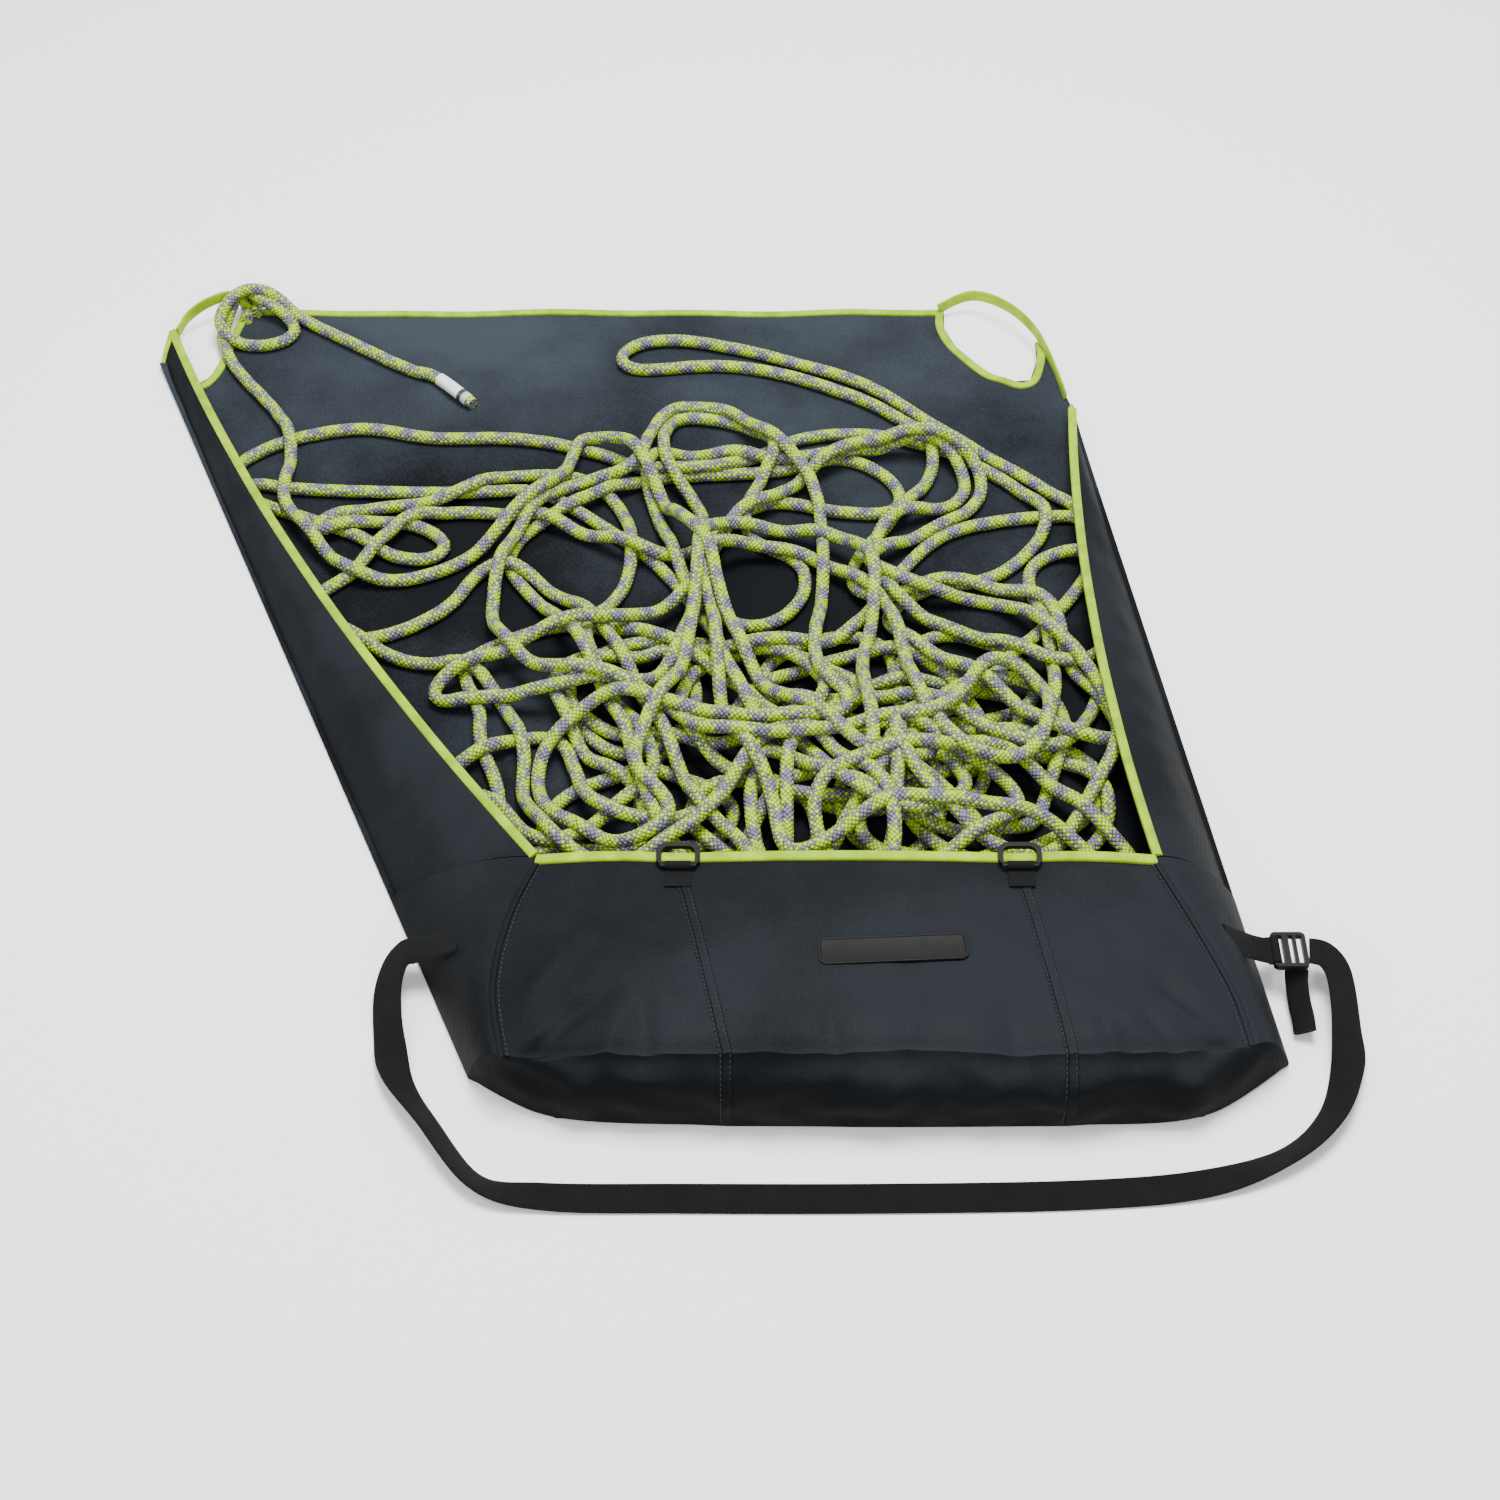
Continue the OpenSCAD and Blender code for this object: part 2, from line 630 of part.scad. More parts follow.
// The long bight that lies out on the ground sheet
bight_route = [
    [166, 496, rope_z + 12], [140, 521, rope_z + 8], [115, 545, rope_z + 2], [83, 580, rope_z],
    [44, 614, rope_z], [-8, 645, rope_z], [-38, 660, rope_z], [-66, 671, rope_z], [-90, 681, rope_z],
    [-120, 690, rope_z], [-150, 691, rope_z], [-178, 684, rope_z], [-197, 673, rope_z],
    [-204, 661, rope_z], [-196, 649, rope_z], [-178, 642, rope_z], [-152, 643, rope_z],
    [-120, 650, rope_z], [-88, 651, rope_z], [-55, 640, rope_z], [-8, 623, rope_z],
    [26, 606, rope_z], [57, 580, rope_z], [76, 556, rope_z + 1], [86, 532, rope_z + 4]];
module rope_bight() { color(rope) tube(bight_route, rope_d); }

// The strand that crosses from the left side panel to the heap
left_run_route = [
    [-534, 538, rope_z + 8], [-515, 548, rope_z + 11], [-495, 560, rope_z + 6], [-471, 573, rope_z],
    [-447, 577, rope_z], [-422, 577, rope_z], [-367, 568, rope_z], [-318, 556, rope_z],
    [-285, 545, rope_z], [-252, 534, rope_z], [-225, 528, rope_z]];
module rope_left_run() { color(rope) tube(left_run_route, rope_d); }

// A turn round the corner loop and the open eye beside it
module rope_knot() {
    color(rope) {
        translate([left_cut[0][0] + 15, sheet_l - 34, rope_z + 2])
            rotate_extrude()
                translate([25, 0])
                    circle(rope_r);
        for (x = [-5, 7])
            translate([left_cut[0][0] + x, sheet_l - 2, rope_z + 15])
                rotate([0, 90, 14])
                    rotate_extrude()
                        translate([12, 0])
                            circle(rope_r);
    }
}

sleeve_extra = 0.4; // how far the whipping stands out from the rope
sleeve_l = 48;
module rope_end_sleeve() {
    color("#d8dadd")
        translate(last(tail_rope_route) + [0.4, -0.3, sleeve_extra])
            rotate([0, 90, atan2(-33, 36)])
                cylinder(d = rope_d + 2 * sleeve_extra, h = sleeve_l);
}

base_sheet();
rear_binding();
left_cutout_binding();
right_cutout_binding();
left_corner_loop();
right_corner_loop();
left_side_panel();
left_panel_binding();
right_side_panel();
right_panel_binding();
left_gusset();
right_gusset();
pouch_left_panel();
pouch_centre_panel();
pouch_right_panel();
pouch_front_wall();
mouth_binding();
left_seam_tape();
right_seam_tape();
name_patch();
left_closure_tab();
right_closure_tab();
left_closure_ring();
right_closure_ring();
left_strap_anchor();
right_strap_tab();
strap_bartacks();
lock_loop();
ladder_lock();
shoulder_strap();
strap_tail();
strap_end_fold();
rope_pile();
rope_lead();
rope_tail();
rope_bight();
rope_left_run();
rope_knot();
rope_end_sleeve();
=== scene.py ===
"""An open rope bag on the ground, with its rope flaked on the sheet."""
import math

import bpy
import numpy as np
from bpy.props import FloatProperty, FloatVectorProperty, IntProperty, PointerProperty
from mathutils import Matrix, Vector, geometry, kdtree, noise


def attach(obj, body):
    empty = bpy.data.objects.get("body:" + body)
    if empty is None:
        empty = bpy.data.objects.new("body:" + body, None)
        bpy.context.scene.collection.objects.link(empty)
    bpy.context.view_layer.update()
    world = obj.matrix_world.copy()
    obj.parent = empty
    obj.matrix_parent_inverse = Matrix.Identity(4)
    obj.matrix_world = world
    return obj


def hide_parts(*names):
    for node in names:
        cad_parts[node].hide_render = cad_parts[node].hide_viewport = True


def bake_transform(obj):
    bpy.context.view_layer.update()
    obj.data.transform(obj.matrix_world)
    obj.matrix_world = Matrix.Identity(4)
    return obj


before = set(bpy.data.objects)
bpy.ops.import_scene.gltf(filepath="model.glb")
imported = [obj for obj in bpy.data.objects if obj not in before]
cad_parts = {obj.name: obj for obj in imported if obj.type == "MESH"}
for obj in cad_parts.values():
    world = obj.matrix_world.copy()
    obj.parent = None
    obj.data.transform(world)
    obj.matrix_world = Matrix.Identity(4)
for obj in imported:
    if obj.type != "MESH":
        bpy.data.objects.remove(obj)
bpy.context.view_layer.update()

bl_info = {
    "name": "Rope Bag",
    "version": (1, 0, 0),
    "blender": (4, 5, 0),
    "location": "View3D > Sidebar > Rope Bag",
    "description": "Builds an open rope storage bag with its rope, strap and fittings",
    "category": "Object",
}

MM = 0.001
SHEET_L = 742       # ground sheet, from the pouch mouth to its rear edge
MOUTH_W = 476       # pouch mouth, corner to corner
MOUTH_H = 55        # height of the mouth's edge
POUCH_L = 190       # pouch top, from its mouth to its crease
WALL_H = 70         # front wall, from its crease to its foot
FLOOR_Z = 2.3       # top of the ground sheet
SIDES = ((-1, "left"), (1, "right"))
NUDGE = 1e-6        # keeps a share of the pouch's width inside its own panel
RIGHT, REARWARD, UP = Vector((1, 0, 0)), Vector((0, 1, 0)), Vector((0, 0, 1))


# ---------- lines that the cloth follows, in millimetres ----------
def fold_x(side, y):
    """x of a side's fold line; side is -1 on the left and 1 on the right."""
    return -359 - 0.4348 * y if side < 0 else 309 - 0.1299 * y


LEFT_TIP = (-632, 692, 18)      # where the side panels' free edges end
RIGHT_TIP = (224.4, 574, 20)
LEFT_TIP_Y = 660                # and where their folds end
RIGHT_TIP_Y = 590
# the cut-outs' edges, and the loops across them
LEFT_CUT = ((-575, 742), (-582, 708), (-586, 670), (-594, 642), (-606, 630), (-622, 658))
RIGHT_CUT = ((117.4, 742), (116.4, 716), (127.4, 680), (151.4, 649), (176.4, 629),
             (194.4, 634), (202.4, 658), (202.4, 684))
LEFT_LOOP = ((-569, 738, 10.3), (-585, 743, 22.3), (-606, 730, 24.3), (-624, 716, 18.3),
             (-630, 702, 15.3), (-631.5, 692, 16.5))
RIGHT_LOOP = ((111.4, 738, 10.3), (143.4, 746, 20.3), (175.4, 726, 24.3), (201.4, 690, 22.3),
              (216.4, 644, 16.3), (225.4, 604, 10.3))
# the pouch's corners and seams, from its mouth to its crease
LEFT_CORNER = ((-238, 0, 55), (-258, -60, 56), (-266, -125, 55), (-256, -186, 51))
LEFT_SEAM = ((-132, 0, 57), (-118.3, -59.4, 62.7), (-104.7, -126.7, 68.3), (-91, -198, 74))
RIGHT_SEAM = ((132, 0, 57), (141, -59.4, 62.7), (150, -126.7, 68.3), (159, -198, 74))
RIGHT_CORNER = ((238, 0, 55), (262, -60, 53), (285, -125, 50), (294, -172, 46))
# the crease over the front wall, and the wall's foot, from left to right
CREASE = ((-256, -186, 51), (-181, -195, 68), (-91, -198, 74), (34, -198, 76), (159, -198, 74),
          (238, -192, 66), (294, -172, 46))
FOOT = ((-285, -170, 2.3), (-218, -205, 2.3), (-91, -212, 2.3), (34, -213, 2.3),
        (159, -212, 2.3), (260, -204, 2.3), (329.5, -158, 2.3))


def mix(a, b, t):
    """Value between a and b."""
    return a + (b - a) * t


def smooth(t):
    """t kept between 0 and 1 and eased at both ends."""
    t = min(max(t, 0.0), 1.0)
    return t * t * (3 - 2 * t)


def curve_at(p, i, t):
    """The point at share t of piece i of a smooth line through the points p."""
    a, b, c, d = p[max(i - 1, 0)], p[i], p[i + 1], p[min(i + 2, len(p) - 1)]
    return 0.5 * (2 * b + (c - a) * t + (2 * a - 5 * b + 4 * c - d) * t * t
                  + (3 * b - a - 3 * c + d) * t ** 3)


def spline(points, n):
    """A smooth line through points, with n pieces between each pair."""
    p = [Vector(q) for q in points]
    return [curve_at(p, i, k / n) for i in range(len(p) - 1) for k in range(n)] + [p[-1]]


def length_of(points):
    """Length of a line through the rows of an array."""
    return float(np.linalg.norm(np.diff(points, axis=0), axis=1).sum())


def even(points, n):
    """n + 1 points at even spacing along a line."""
    p = np.array([tuple(q) for q in points], float)
    s = np.concatenate([[0], np.cumsum(np.linalg.norm(np.diff(p, axis=0), axis=1))])
    at = np.linspace(0, s[-1], n + 1)
    return np.stack([np.interp(at, s, p[:, i]) for i in range(p.shape[1])], axis=1)


def panel_inner(side, t):
    """A side panel's free edge, from the mouth corner (t = 0) to the rear (t = 1)."""
    tip, bow = (LEFT_TIP, 27) if side < 0 else (RIGHT_TIP, 15)
    return Vector((mix(side * MOUTH_W / 2, tip[0], t) - bow * 4 * t * (1 - t), mix(1, tip[1], t),
                   tip[2] + (MOUTH_H - tip[2]) * max(1 - t, 0) ** 1.3))


def panel_edge(side, y):
    """About where a side panel's free edge passes y."""
    return panel_inner(side, min(max(y / 680, 0), 1))


def wrinkle(x, y, size, seed=0.0):
    """A soft fold pattern between -1 and 1; size is the distance between folds in mm."""
    return noise.noise(Vector((x / size, y / size, seed)))


def add_creases(z, x, y, creases):
    """z with soft ridges added, each given by its middle, heading, width, length and height."""
    for x0, y0, angle, width, length, height in creases:
        c, s = math.cos(math.radians(angle)), math.sin(math.radians(angle))
        u, v = (x - x0) * c + (y - y0) * s, -(x - x0) * s + (y - y0) * c
        z += height * math.exp(-(v / width) ** 2 - (u / length) ** 2)
    return z


# ---------- materials ----------
def linear(code):
    """A linear colour from an sRGB hex code."""
    parts = [int(code[i:i + 2], 16) / 255 for i in (1, 3, 5)]
    return tuple(c / 12.92 if c <= 0.04045 else ((c + 0.055) / 1.055) ** 2.4 for c in parts) + (1,)


def shade(colour, k):
    """A linear colour made k times as bright."""
    return tuple(min(c * k, 1) for c in tuple(colour)[:3]) + (1,)


def add(tree, kind, inputs=(), out=0, stops=(), **settings):
    """Adds a shader node and returns one of its outputs. inputs hold a value or a linked
    output for each input, by place or by name, and stops hold a ramp's places and colours."""
    node = tree.nodes.new("ShaderNode" + kind)
    for key, value in settings.items():
        setattr(node, key, value)
    for key, value in inputs.items() if isinstance(inputs, dict) else enumerate(inputs):
        if isinstance(value, bpy.types.NodeSocket):
            tree.links.new(value, node.inputs[key])
        else:
            node.inputs[key].default_value = value
    for k, (place, colour) in enumerate(stops):
        marks = node.color_ramp.elements
        mark = marks[k] if k < len(marks) else marks.new(1)
        mark.position = place
        mark.color = colour
    return node.outputs[out]


def material(name, roughness, **values):
    """A material with a Principled shader; values are set on its sockets."""
    m = bpy.data.materials.new(name)
    m.use_nodes = True
    shader = m.node_tree.nodes["Principled BSDF"]
    shader.inputs["Roughness"].default_value = roughness
    for key, value in values.items():
        shader.inputs[key.replace("_", " ")].default_value = value
    return m, m.node_tree, shader


def connect(tree, shader, **outputs):
    """Links outputs to the shader's sockets."""
    for key, output in outputs.items():
        tree.links.new(output, shader.inputs[key.replace("_", " ")])


def coated_cloth(name, base, thread, depth, dark=0.45, painted_front_shade=False):
    """Coated woven nylon: a plain weave under a thin coat, so threads show as a fine dull
    grain, rubbed a little paler in patches. thread is its spacing in mm. With fade the part
    under the heap gets painted shade, darker than the open rear; without it, what faces up
    is painted paler, as if lit from above, and what faces the ground gets painted shade."""
    roughness = 0.6
    m, t, s = material(name, roughness, Specular_IOR_Level=0.04)
    place = add(t, "TexCoord", out="Object")
    cloudy = add(t, "TexNoise", {"Vector": place, "Scale": 9.0, "Detail": 5.0, "Roughness": 0.6})
    grain = add(t, "TexNoise", {"Vector": place, "Scale": 420.0, "Detail": 3.0})
    broad = add(t, "TexNoise", {"Vector": place, "Scale": 3.2, "Detail": 2.0})
    tone = add(t, "Math", (add(t, "Math", (cloudy, 0.4), operation="MULTIPLY"),
                           add(t, "Math", (grain, 0.2), operation="MULTIPLY")))
    tone = add(t, "Math", (tone, add(t, "Math", (broad, 0.7, -0.15), operation="MULTIPLY_ADD")))
    # painted shade: with fade the lining is darkened towards the front, where the heap shades it;
    # without it the cloth is darkened where it faces sideways or down, away from the light above
    if painted_front_shade:
        where = add(t, "SeparateXYZ", (place,), out="Y")
        low, high, painted_dark, painted_pale = 0.30, 0.66, -0.22, 0.05
    else:
        where = add(t, "SeparateXYZ", (add(t, "NewGeometry", out="Normal"),), out="Z")
        low, high, painted_dark, painted_pale = 0.1, 0.9, -0.45, 0.04
    tone = add(t, "Math", (tone, add(t, "MapRange", (where, low, high, painted_dark, painted_pale))))
    # threads are drawn at six times their real spacing so that they show
    turned = add(t, "Mapping", {"Vector": place, "Rotation": (0, 0, math.radians(8))})
    warp, weft = (add(t, "TexWave", {"Vector": turned, "Scale": 1000 / (20 * thread),
                                     "Distortion": 0.6}, bands_direction=way) for way in "XY")
    weave = add(t, "Math", (warp, weft), operation="MULTIPLY")
    soft = add(t, "TexNoise", {"Vector": place, "Scale": 70.0, "Detail": 4.0})
    height = add(t, "Math", (add(t, "Math", (weave, 0.25), operation="MULTIPLY"),
                             add(t, "Math", (soft, 0.75), operation="MULTIPLY")))
    worn = add(t, "Math", (cloudy, 0.2), operation="MULTIPLY")
    connect(t, s, Normal=add(t, "Bump", {"Height": height, "Distance": depth * MM}),
            Roughness=add(t, "Math", (roughness - 0.1, worn)),
            Base_Color=add(t, "ValToRGB", (tone,), stops=(
                (0.3, shade(base, dark)), (0.5, shade(base, 1)), (0.62, shade(base, 1.5)))))
    return m


def ribbed_tape(name, base, rib, roughness, depth, sheen=0.0):
    """Woven tape: ribs across its length with small lengthwise threads, so its edges look
    toothed and it has a soft shine. rib is the spacing in mm. Follows the UV map in metres."""
    m, t, s = material(name, roughness, Sheen_Weight=sheen, Specular_IOR_Level=0.15)
    across, length = (add(t, "SeparateXYZ", (add(t, "UVMap"),), out=way) for way in "XY")
    ribs, lines = (add(t, "Math", (add(t, "Math", (run, 2000 * math.pi / spacing),
                                       operation="MULTIPLY"),), operation="SINE")
                   for run, spacing in ((length, rib), (across, rib * 1.3)))
    weave = add(t, "Math", (add(t, "Math", (ribs, lines), operation="MULTIPLY"), 0.25, 0.5),
                operation="MULTIPLY_ADD")
    weave = add(t, "Math", (ribs, 0.2, weave), operation="MULTIPLY_ADD")
    cloudy = add(t, "TexNoise", {"Vector": add(t, "TexCoord", out="Object"), "Scale": 60.0,
                                 "Detail": 4.0})
    tone = add(t, "Math", (add(t, "Math", (weave, 0.4), operation="MULTIPLY"),
                           add(t, "Math", (cloudy, 0.6), operation="MULTIPLY")))
    connect(t, s, Normal=add(t, "Bump", {"Height": weave, "Distance": depth * MM}),
            Base_Color=add(t, "ValToRGB", (tone,), stops=(
                (0.25, shade(base, 0.5)), (0.5, shade(base, 1)), (0.75, shade(base, 1.6)))))
    return m


def rope_sheath(neon, grey_yarn):
    """Braided polyester sheath: two sets of flat yarn bundles wound opposite ways. Three in
    seven of each set are grey, so short solid patches of grey and longer ones of neon
    alternate with mottled stretches."""
    pitch, bundles, grey_share = 0.030, 7, 3 / 7    # one turn of a bundle in metres
    m, t, s = material("rope_sheath", 0.6, Specular_IOR_Level=0.3)
    turn, length = (add(t, "SeparateXYZ", (add(t, "UVMap"),), out=way) for way in "XY")
    wound = add(t, "Math", (length, pitch), operation="DIVIDE")
    floors, greys, crowns = [], [], []
    for way in ("ADD", "SUBTRACT"):
        turned = add(t, "Math", (turn, wound), operation=way)
        bundle = add(t, "Math", (turned, bundles), operation="MULTIPLY")
        floors.append(add(t, "Math", (bundle,), operation="FLOOR"))
        share = add(t, "Math", (turned, 1.0), operation="FLOORED_MODULO")
        greys.append(add(t, "Math", (share, grey_share), operation="LESS_THAN"))
        half = add(t, "Math", (bundle, math.pi), operation="MULTIPLY")
        crowns.append(add(t, "Math", (add(t, "Math", (half,), operation="SINE"),),
                          operation="ABSOLUTE"))
    over = add(t, "Math", (add(t, "Math", floors), 2.0), operation="FLOORED_MODULO")
    under = add(t, "Math", (1.0, over), operation="SUBTRACT")
    grey = add(t, "Math", (add(t, "Math", (over, greys[0]), operation="MULTIPLY"),
                           add(t, "Math", (under, greys[1]), operation="MULTIPLY")))
    ridge = add(t, "Math", crowns, operation="MULTIPLY")
    place = add(t, "TexCoord", out="Object")
    fuzz = add(t, "TexNoise", {"Vector": place, "Scale": 700.0, "Detail": 2.0})
    worn = add(t, "TexNoise", {"Vector": place, "Scale": 230.0, "Detail": 2.0})
    # painted shade: each yarn is coloured darker in the gaps between bundle crowns (ridge) than on
    # them, mixed with random fuzz and wear; the ramps below hold dark, half-lit and full copies of
    # each yarn
    lit = add(t, "Math", (fuzz, 0.35, add(t, "Math", (ridge, 0.35), operation="MULTIPLY")),
              operation="MULTIPLY_ADD")
    lit = add(t, "Math", (worn, 0.45, lit), operation="MULTIPLY_ADD")
    green, lilac = (add(t, "ValToRGB", (lit,), stops=(
        (0.3, shade(yarn, dark)), (0.48, shade(yarn, half_lit)), (0.66, yarn)))
        for yarn, dark, half_lit in ((neon, 0.1, 0.5), (grey_yarn, 0.08, 0.4)))
    both = add(t, "Mix", {0: grey, 6: green, 7: lilac}, out=2, data_type="RGBA")
    connect(t, s, Base_Color=both,
            Normal=add(t, "Bump", {"Height": ridge, "Distance": 0.7 * MM}))
    return m


def moulded(name, colour, roughness, grit):
    """Injection-moulded plastic: nearly smooth, with faint grit and a broad highlight. grit
    is its spacing in mm."""
    m, t, s = material(name, roughness, Specular_IOR_Level=0.2, IOR=1.48)
    place = add(t, "TexCoord", out="Object")
    fine = add(t, "TexNoise", {"Vector": place, "Scale": 1000 / grit, "Detail": 3.0})
    worn = add(t, "TexNoise", {"Vector": place, "Scale": 60.0, "Detail": 3.0})
    dark = linear(colour)
    connect(t, s, Normal=add(t, "Bump", {"Height": fine, "Distance": 0.06 * MM}),
            Base_Color=add(t, "Mix", {0: worn, 6: dark, 7: shade(dark, 1.8)}, out=2,
                           data_type="RGBA"),
            Roughness=add(t, "Math", (worn, 0.25, roughness - 0.1), operation="MULTIPLY_ADD"))
    return m


def sleeve_plastic():
    """Shrunk clear sleeve over a white label: glossy, faintly ringed, with a thin dark band."""
    m, t, s = material("whipping_sleeve", 0.25, Coat_Weight=0.6, Coat_Roughness=0.15)
    length = add(t, "SeparateXYZ", (add(t, "UVMap"),), out="Y")
    label = ((0.0, "#D9DBDD"), (0.60, "#E4E6E8"), (0.62, "#2C2D30"), (0.70, "#2C2D30"),
             (0.72, "#9AA0A6"), (0.9, "#C9CDD1"))
    rings = add(t, "TexNoise", {"Vector": add(t, "TexCoord", out="Object"), "Scale": 260.0,
                                "Detail": 2.0})
    connect(t, s, Normal=add(t, "Bump", {"Height": rings, "Distance": 0.3 * MM}),
            Base_Color=add(t, "ValToRGB", (length,),
                           stops=[(at_share, linear(code)) for at_share, code in label]))
    return m


M = {}


def finish_of(key):
    """A finish by its key. All are made on first use, from the settings."""
    if not M:
        s = bpy.context.scene.rope_bag
        # the lining gets painted shade towards the front; the cloth gets painted light and shade
        # by the way it faces
        M["lining"] = coated_cloth("lining_coated", s.lining_colour, 0.5, 0.35, 0.2, True)
        M["cloth"] = coated_cloth("bag_cloth_coated", s.cloth_colour, 0.6, 0.45)
        M["binding"] = ribbed_tape("edge_binding", s.binding_colour, 1.2, 0.6, 0.35, 0.05)
        M["webbing"] = ribbed_tape("strap_webbing", s.webbing_colour, 1.5, 0.85, 0.6)
        M["thread"] = ribbed_tape("stitch_thread", linear("#1E2023"), 0.8, 0.6, 0.1)
        M["rope"] = rope_sheath(shade(s.rope_colour, 1), shade(s.rope_second_colour, 1))
        M["plastic"] = moulded("acetal_black", "#050506", 0.5, 0.4)
        M["patch"] = moulded("patch_rubber", "#050506", 0.6, 0.6)
        M["sleeve"] = sleeve_plastic()
    return M[key]


# ---------- ways of making a mesh ----------
def clear():
    """Nothing selected, no edit mode."""
    if bpy.context.mode != "OBJECT":
        bpy.ops.object.mode_set(mode="OBJECT")
    bpy.ops.object.select_all(action="DESELECT")


def pick(obj):
    """Only obj selected and active."""
    clear()
    obj.select_set(True)
    bpy.context.view_layer.objects.active = obj


def modify(obj, kind, **settings):
    """Adds a modifier and applies it."""
    pick(obj)
    mod = obj.modifiers.new(kind, kind)
    for key, value in settings.items():
        setattr(mod, key, value)
    bpy.ops.object.modifier_apply(modifier=mod.name)
    return obj


def finish_piece(obj, finish, body, replaces=(), smooth_angle=60):
    """Gives a piece its finish and shading, and makes it ride on its body."""
    obj.data.name = obj.name
    obj.data.materials.clear()
    obj.data.materials.append(finish_of(finish))
    pick(obj)
    bpy.ops.object.shade_smooth_by_angle(angle=math.radians(smooth_angle))
    if replaces:
        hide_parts(*replaces)
    if body:
        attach(obj, body)
    return obj


def new_mesh(name, verts, faces, uvs=None):
    """A mesh object from vertices in millimetres, and one UV for each vertex in metres."""
    data = bpy.data.meshes.new(name)
    data.from_pydata([tuple(c * MM for c in v) for v in verts], [], faces)
    data.update()
    obj = bpy.data.objects.new(name, data)
    bpy.context.scene.collection.objects.link(obj)
    if uvs is not None:
        layer = data.uv_layers.new(name="UVMap")
        index = np.empty(len(data.loops), int)
        data.loops.foreach_get("vertex_index", index)
        layer.data.foreach_set("uv", np.array(uvs, np.float32)[index].ravel())
    return obj


def cloth_grid(name, shape, nu, nv, thick=1.6):
    """A sheet of cloth: a grid shaped so that (u, v) lies at shape(u, v), in millimetres.
    The cloth's thickness goes behind it."""
    clear()
    bpy.ops.mesh.primitive_grid_add(x_subdivisions=nu, y_subdivisions=nv, size=1)
    obj = bpy.context.object
    obj.name = name
    for v in obj.data.vertices:
        v.co = Vector(shape(v.co.x + 0.5, v.co.y + 0.5)) * MM
    modify(obj, "SOLIDIFY", thickness=thick * MM, offset=-1, use_even_offset=False)
    return obj


def swept(name, rings, uvs):
    """A closed skin through rings of points in millimetres: a grid is rolled round them, its
    seam is merged and its ends are filled."""
    n, k = rings.shape[0] - 1, rings.shape[1] - 1
    clear()
    bpy.ops.mesh.primitive_grid_add(x_subdivisions=k, y_subdivisions=n, size=1)
    obj = bpy.context.object
    obj.name = name
    co = np.empty(len(obj.data.vertices) * 3, np.float32)
    obj.data.vertices.foreach_get("co", co)
    j = np.rint((co[0::3] + 0.5) * k).astype(int)
    i = np.rint((co[1::3] + 0.5) * n).astype(int)
    obj.data.vertices.foreach_set("co", (rings[i, j] * MM).astype(np.float32).ravel())
    index = np.empty(len(obj.data.loops), np.int32)
    obj.data.loops.foreach_get("vertex_index", index)
    obj.data.uv_layers[0].data.foreach_set(
        "uv", uvs[i, j][index].astype(np.float32).ravel())
    bpy.ops.object.mode_set(mode="EDIT")
    bpy.ops.mesh.select_all(action="SELECT")
    bpy.ops.mesh.remove_doubles(threshold=1e-6)
    bpy.ops.mesh.fill_holes(sides=0)
    bpy.ops.mesh.select_all(action="SELECT")
    bpy.ops.mesh.normals_make_consistent(inside=False)
    bpy.ops.object.mode_set(mode="OBJECT")
    return obj


def ribbon(name, points, wide, width, thick):
    """A tape swept along points, its width along the wide vectors, with rounded edges. Its UV
    map is across and along, in metres."""
    p = [Vector(q) for q in points]
    n = len(p)
    section = [(-0.5, 0), (-0.46, 0.36), (-0.3, 0.5), (0.3, 0.5), (0.46, 0.36), (0.5, 0),
               (0.46, -0.36), (0.3, -0.5), (-0.3, -0.5), (-0.46, -0.36), (-0.5, 0)]
    rings, uvs, run = [], [], 0.0
    for i in range(n):
        head = (p[min(i + 1, n - 1)] - p[max(i - 1, 0)]).normalized()
        w = Vector(wide[i])
        w = (w - head * w.dot(head)).normalized()
        up = w.cross(head).normalized()
        if i:
            run += (p[i] - p[i - 1]).length
        rings.append([tuple(p[i] + w * a * width + up * b * thick) for a, b in section])
        uvs.append([(a * width * MM + (0 if b >= 0 else 0.05), run * MM) for a, b in section])
    return swept(name, np.array(rings), np.array(uvs))


def tube(name, points, diameter, sides=10, start=0.0):
    """A round rope along points in millimetres, with its ends closed. Its UV map is turns
    round and metres along."""
    p = np.array([tuple(q) for q in points], float)
    n = len(p)
    head = np.gradient(p, axis=0)
    head /= np.linalg.norm(head, axis=1)[:, None]
    run = start + np.concatenate([[0], np.cumsum(np.linalg.norm(np.diff(p, axis=0), axis=1))])
    side = np.cross(head[0], (0, 0, 1.0))
    rings, uvs = [], []
    for i in range(n):
        side = side - head[i] * side.dot(head[i])
        side /= np.linalg.norm(side)
        up = np.cross(side, head[i])
        slip = 0.35 * math.sin(run[i] / 190.0) + 0.2 * math.sin(run[i] / 71.0 + 1.0)
        turns = [2 * math.pi * (j % sides) / sides for j in range(sides + 1)]
        rings.append([p[i] + diameter / 2 * (side * math.cos(t) + up * math.sin(t))
                      for t in turns])
        uvs.append([(j / sides + slip, run[i] * MM) for j in range(sides + 1)])
    return swept(name, np.array(rings), np.array(uvs))


# ---------- rope ----------
ROPE_STEP = 7       # length of one ring of the rope's mesh
PILE_TOP = 74       # the highest that the rope's middle lies in the open
POUCH_ROOM = 41     # and inside the pouch
HEAP_FRONT, HEAP_REAR = -70, 560
PRESSED = 0.88      # share of its height that a length keeps where it lies on another

